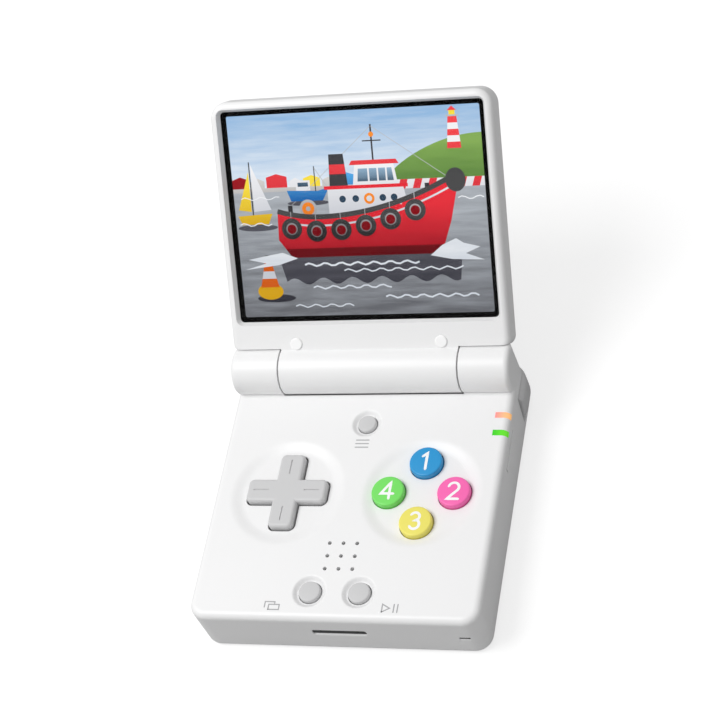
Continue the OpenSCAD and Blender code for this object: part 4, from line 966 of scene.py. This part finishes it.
def set_camera():
    """The camera in front of the console, to its right and above it."""
    data = bpy.data.cameras.new("camera")
    data.lens = CAMERA_LENS
    data.sensor_width = CAMERA_SENSOR
    camera = bpy.data.objects.new("camera", data)
    right = CAMERA_RIGHT.normalized()
    up = (CAMERA_UP - right * CAMERA_UP.dot(right)).normalized()
    turn = Matrix((right, up, right.cross(up))).transposed().to_4x4()
    camera.matrix_world = Matrix.Translation(CAMERA_AT) @ turn
    bpy.context.scene.collection.objects.link(camera)
    bpy.context.scene.camera = camera


def set_key_light(power):
    """A square soft light turned to the middle of the console's underside."""
    data = bpy.data.lights.new("key", "AREA")
    data.size = KEY_WIDTH
    data.energy = power
    lamp = bpy.data.objects.new("key", data)
    lamp.location = KEY_AT
    lamp.rotation_mode = "QUATERNION"
    lamp.rotation_quaternion = (-KEY_AT).to_track_quat("-Z", "Y")
    bpy.context.scene.collection.objects.link(lamp)


def set_world(fill):
    """Dim light from all round that looks white to the camera and in reflections."""
    world = bpy.data.worlds.new("studio")
    world.use_nodes = True
    bpy.context.scene.world = world
    tree = world.node_tree
    path = node(tree, "ShaderNodeLightPath", (-700, 0)).outputs
    seen = math_node(tree, "MAXIMUM", (path["Is Camera Ray"], path["Is Glossy Ray"]), (-500, 0))
    seen = math_node(tree, "MAXIMUM", (seen, path["Is Transmission Ray"]), (-350, 0))
    lift = math_node(tree, "MULTIPLY", (seen, 1 - fill), (-200, 0))
    set_inputs(tree.nodes["Background"], Color=(1, 1, 1, 1),
               Strength=math_node(tree, "ADD", (lift, fill), (-50, 0)))


def floor_material():
    """Pale paper that goes over into the white around it far from the console."""
    material, tree, shader = blank_material("floor_paper")
    fibres = node(tree, "ShaderNodeTexNoise", (-500, 0), Scale=400, Detail=3)
    tone = node(tree, "ShaderNodeMapRange", (-250, 0), Value=fibres.outputs["Fac"],
                To_Min=FLOOR_TONES[0], To_Max=FLOOR_TONES[1])
    place = node(tree, "ShaderNodeNewGeometry", (-900, -300))
    far = node(tree, "ShaderNodeVectorMath", (-700, -300))
    far.operation = "LENGTH"
    feed(far.inputs[0], place.outputs["Position"])
    glow = node(tree, "ShaderNodeMapRange", (-500, -300), Value=far.outputs["Value"],
                From_Min=GLOW_START, From_Max=GLOW_END, To_Min=GLOW_NEAR, To_Max=GLOW_FAR)
    path = node(tree, "ShaderNodeLightPath", (-500, -600))
    seen = math_node(tree, "MULTIPLY", (path.outputs["Is Camera Ray"], glow.outputs["Result"]),
                     (-250, -300))
    set_inputs(shader, Base_Color=tone.outputs["Result"], Roughness=0.9, Specular_IOR_Level=0.1,
               Emission_Color=(1, 1, 1, 1), Emission_Strength=seen)
    return material


def set_floor():
    """A wide pale floor that keeps a soft shadow."""
    reach, z = FLOOR_REACH, CAD_BOX[0].z - FLOOR_DROP
    mesh = bpy.data.meshes.new("floor")
    mesh.from_pydata([(-reach, -reach, z), (reach, -reach, z), (reach, reach, z), (-reach, reach, z)],
                     [], [(0, 1, 2, 3)])
    floor = bpy.data.objects.new("floor", mesh)
    bpy.context.scene.collection.objects.link(floor)
    mesh.materials.append(floor_material())


class CONSOLE_OT_set_stage(bpy.types.Operator):
    """Sets up the floor, the soft light and the camera"""

    bl_idname = "console.set_stage"
    bl_label = "Set stage"

    def execute(self, context):
        studio = context.scene.console_studio
        context.scene.view_settings.view_transform = "Standard"
        set_world(studio.fill)
        set_key_light(studio.key_power)
        set_floor()
        set_camera()
        return {"FINISHED"}


# ---- Panel and registration ----

STEPS = (
    CONSOLE_OT_mould_shell, CONSOLE_OT_mould_keys, CONSOLE_OT_number_buttons,
    CONSOLE_OT_print_icons, CONSOLE_OT_light_display, CONSOLE_OT_glaze_lens,
    CONSOLE_OT_light_windows, CONSOLE_OT_finish_hardware, CONSOLE_OT_paint_notch_shade,
    CONSOLE_OT_finish_inside, CONSOLE_OT_set_stage,
)


class CONSOLE_PT_panel(bpy.types.Panel):
    """Lists the steps and the settings"""

    bl_idname = "CONSOLE_PT_panel"
    bl_label = "Game Console"
    bl_space_type = "VIEW_3D"
    bl_region_type = "UI"
    bl_category = "Console"

    def draw(self, context):
        scene = context.scene
        for settings in (scene.console_colours, scene.console_print, scene.console_studio):
            for key in settings.bl_rna.properties.keys():
                if key not in {"rna_type", "name"}:
                    self.layout.prop(settings, key)
        for step in STEPS:
            self.layout.operator(step.bl_idname)


SETTINGS = {
    "console_colours": ConsoleColours,
    "console_print": ConsolePrint,
    "console_studio": ConsoleStudio,
}
CLASSES = (*SETTINGS.values(), *STEPS, CONSOLE_PT_panel)


def register():
    """Makes the settings, the operators and the panel known."""
    for kind in CLASSES:
        bpy.utils.register_class(kind)
    for key, kind in SETTINGS.items():
        setattr(bpy.types.Scene, key, PointerProperty(type=kind))


def unregister():
    """Takes them out again."""
    for key in SETTINGS:
        delattr(bpy.types.Scene, key)
    for kind in reversed(CLASSES):
        bpy.utils.unregister_class(kind)


def main():
    """Runs every step."""
    register()
    for step in STEPS:
        group, name = step.bl_idname.split(".")
        getattr(getattr(bpy.ops, group), name)()


if __name__ == "__main__":
    main()
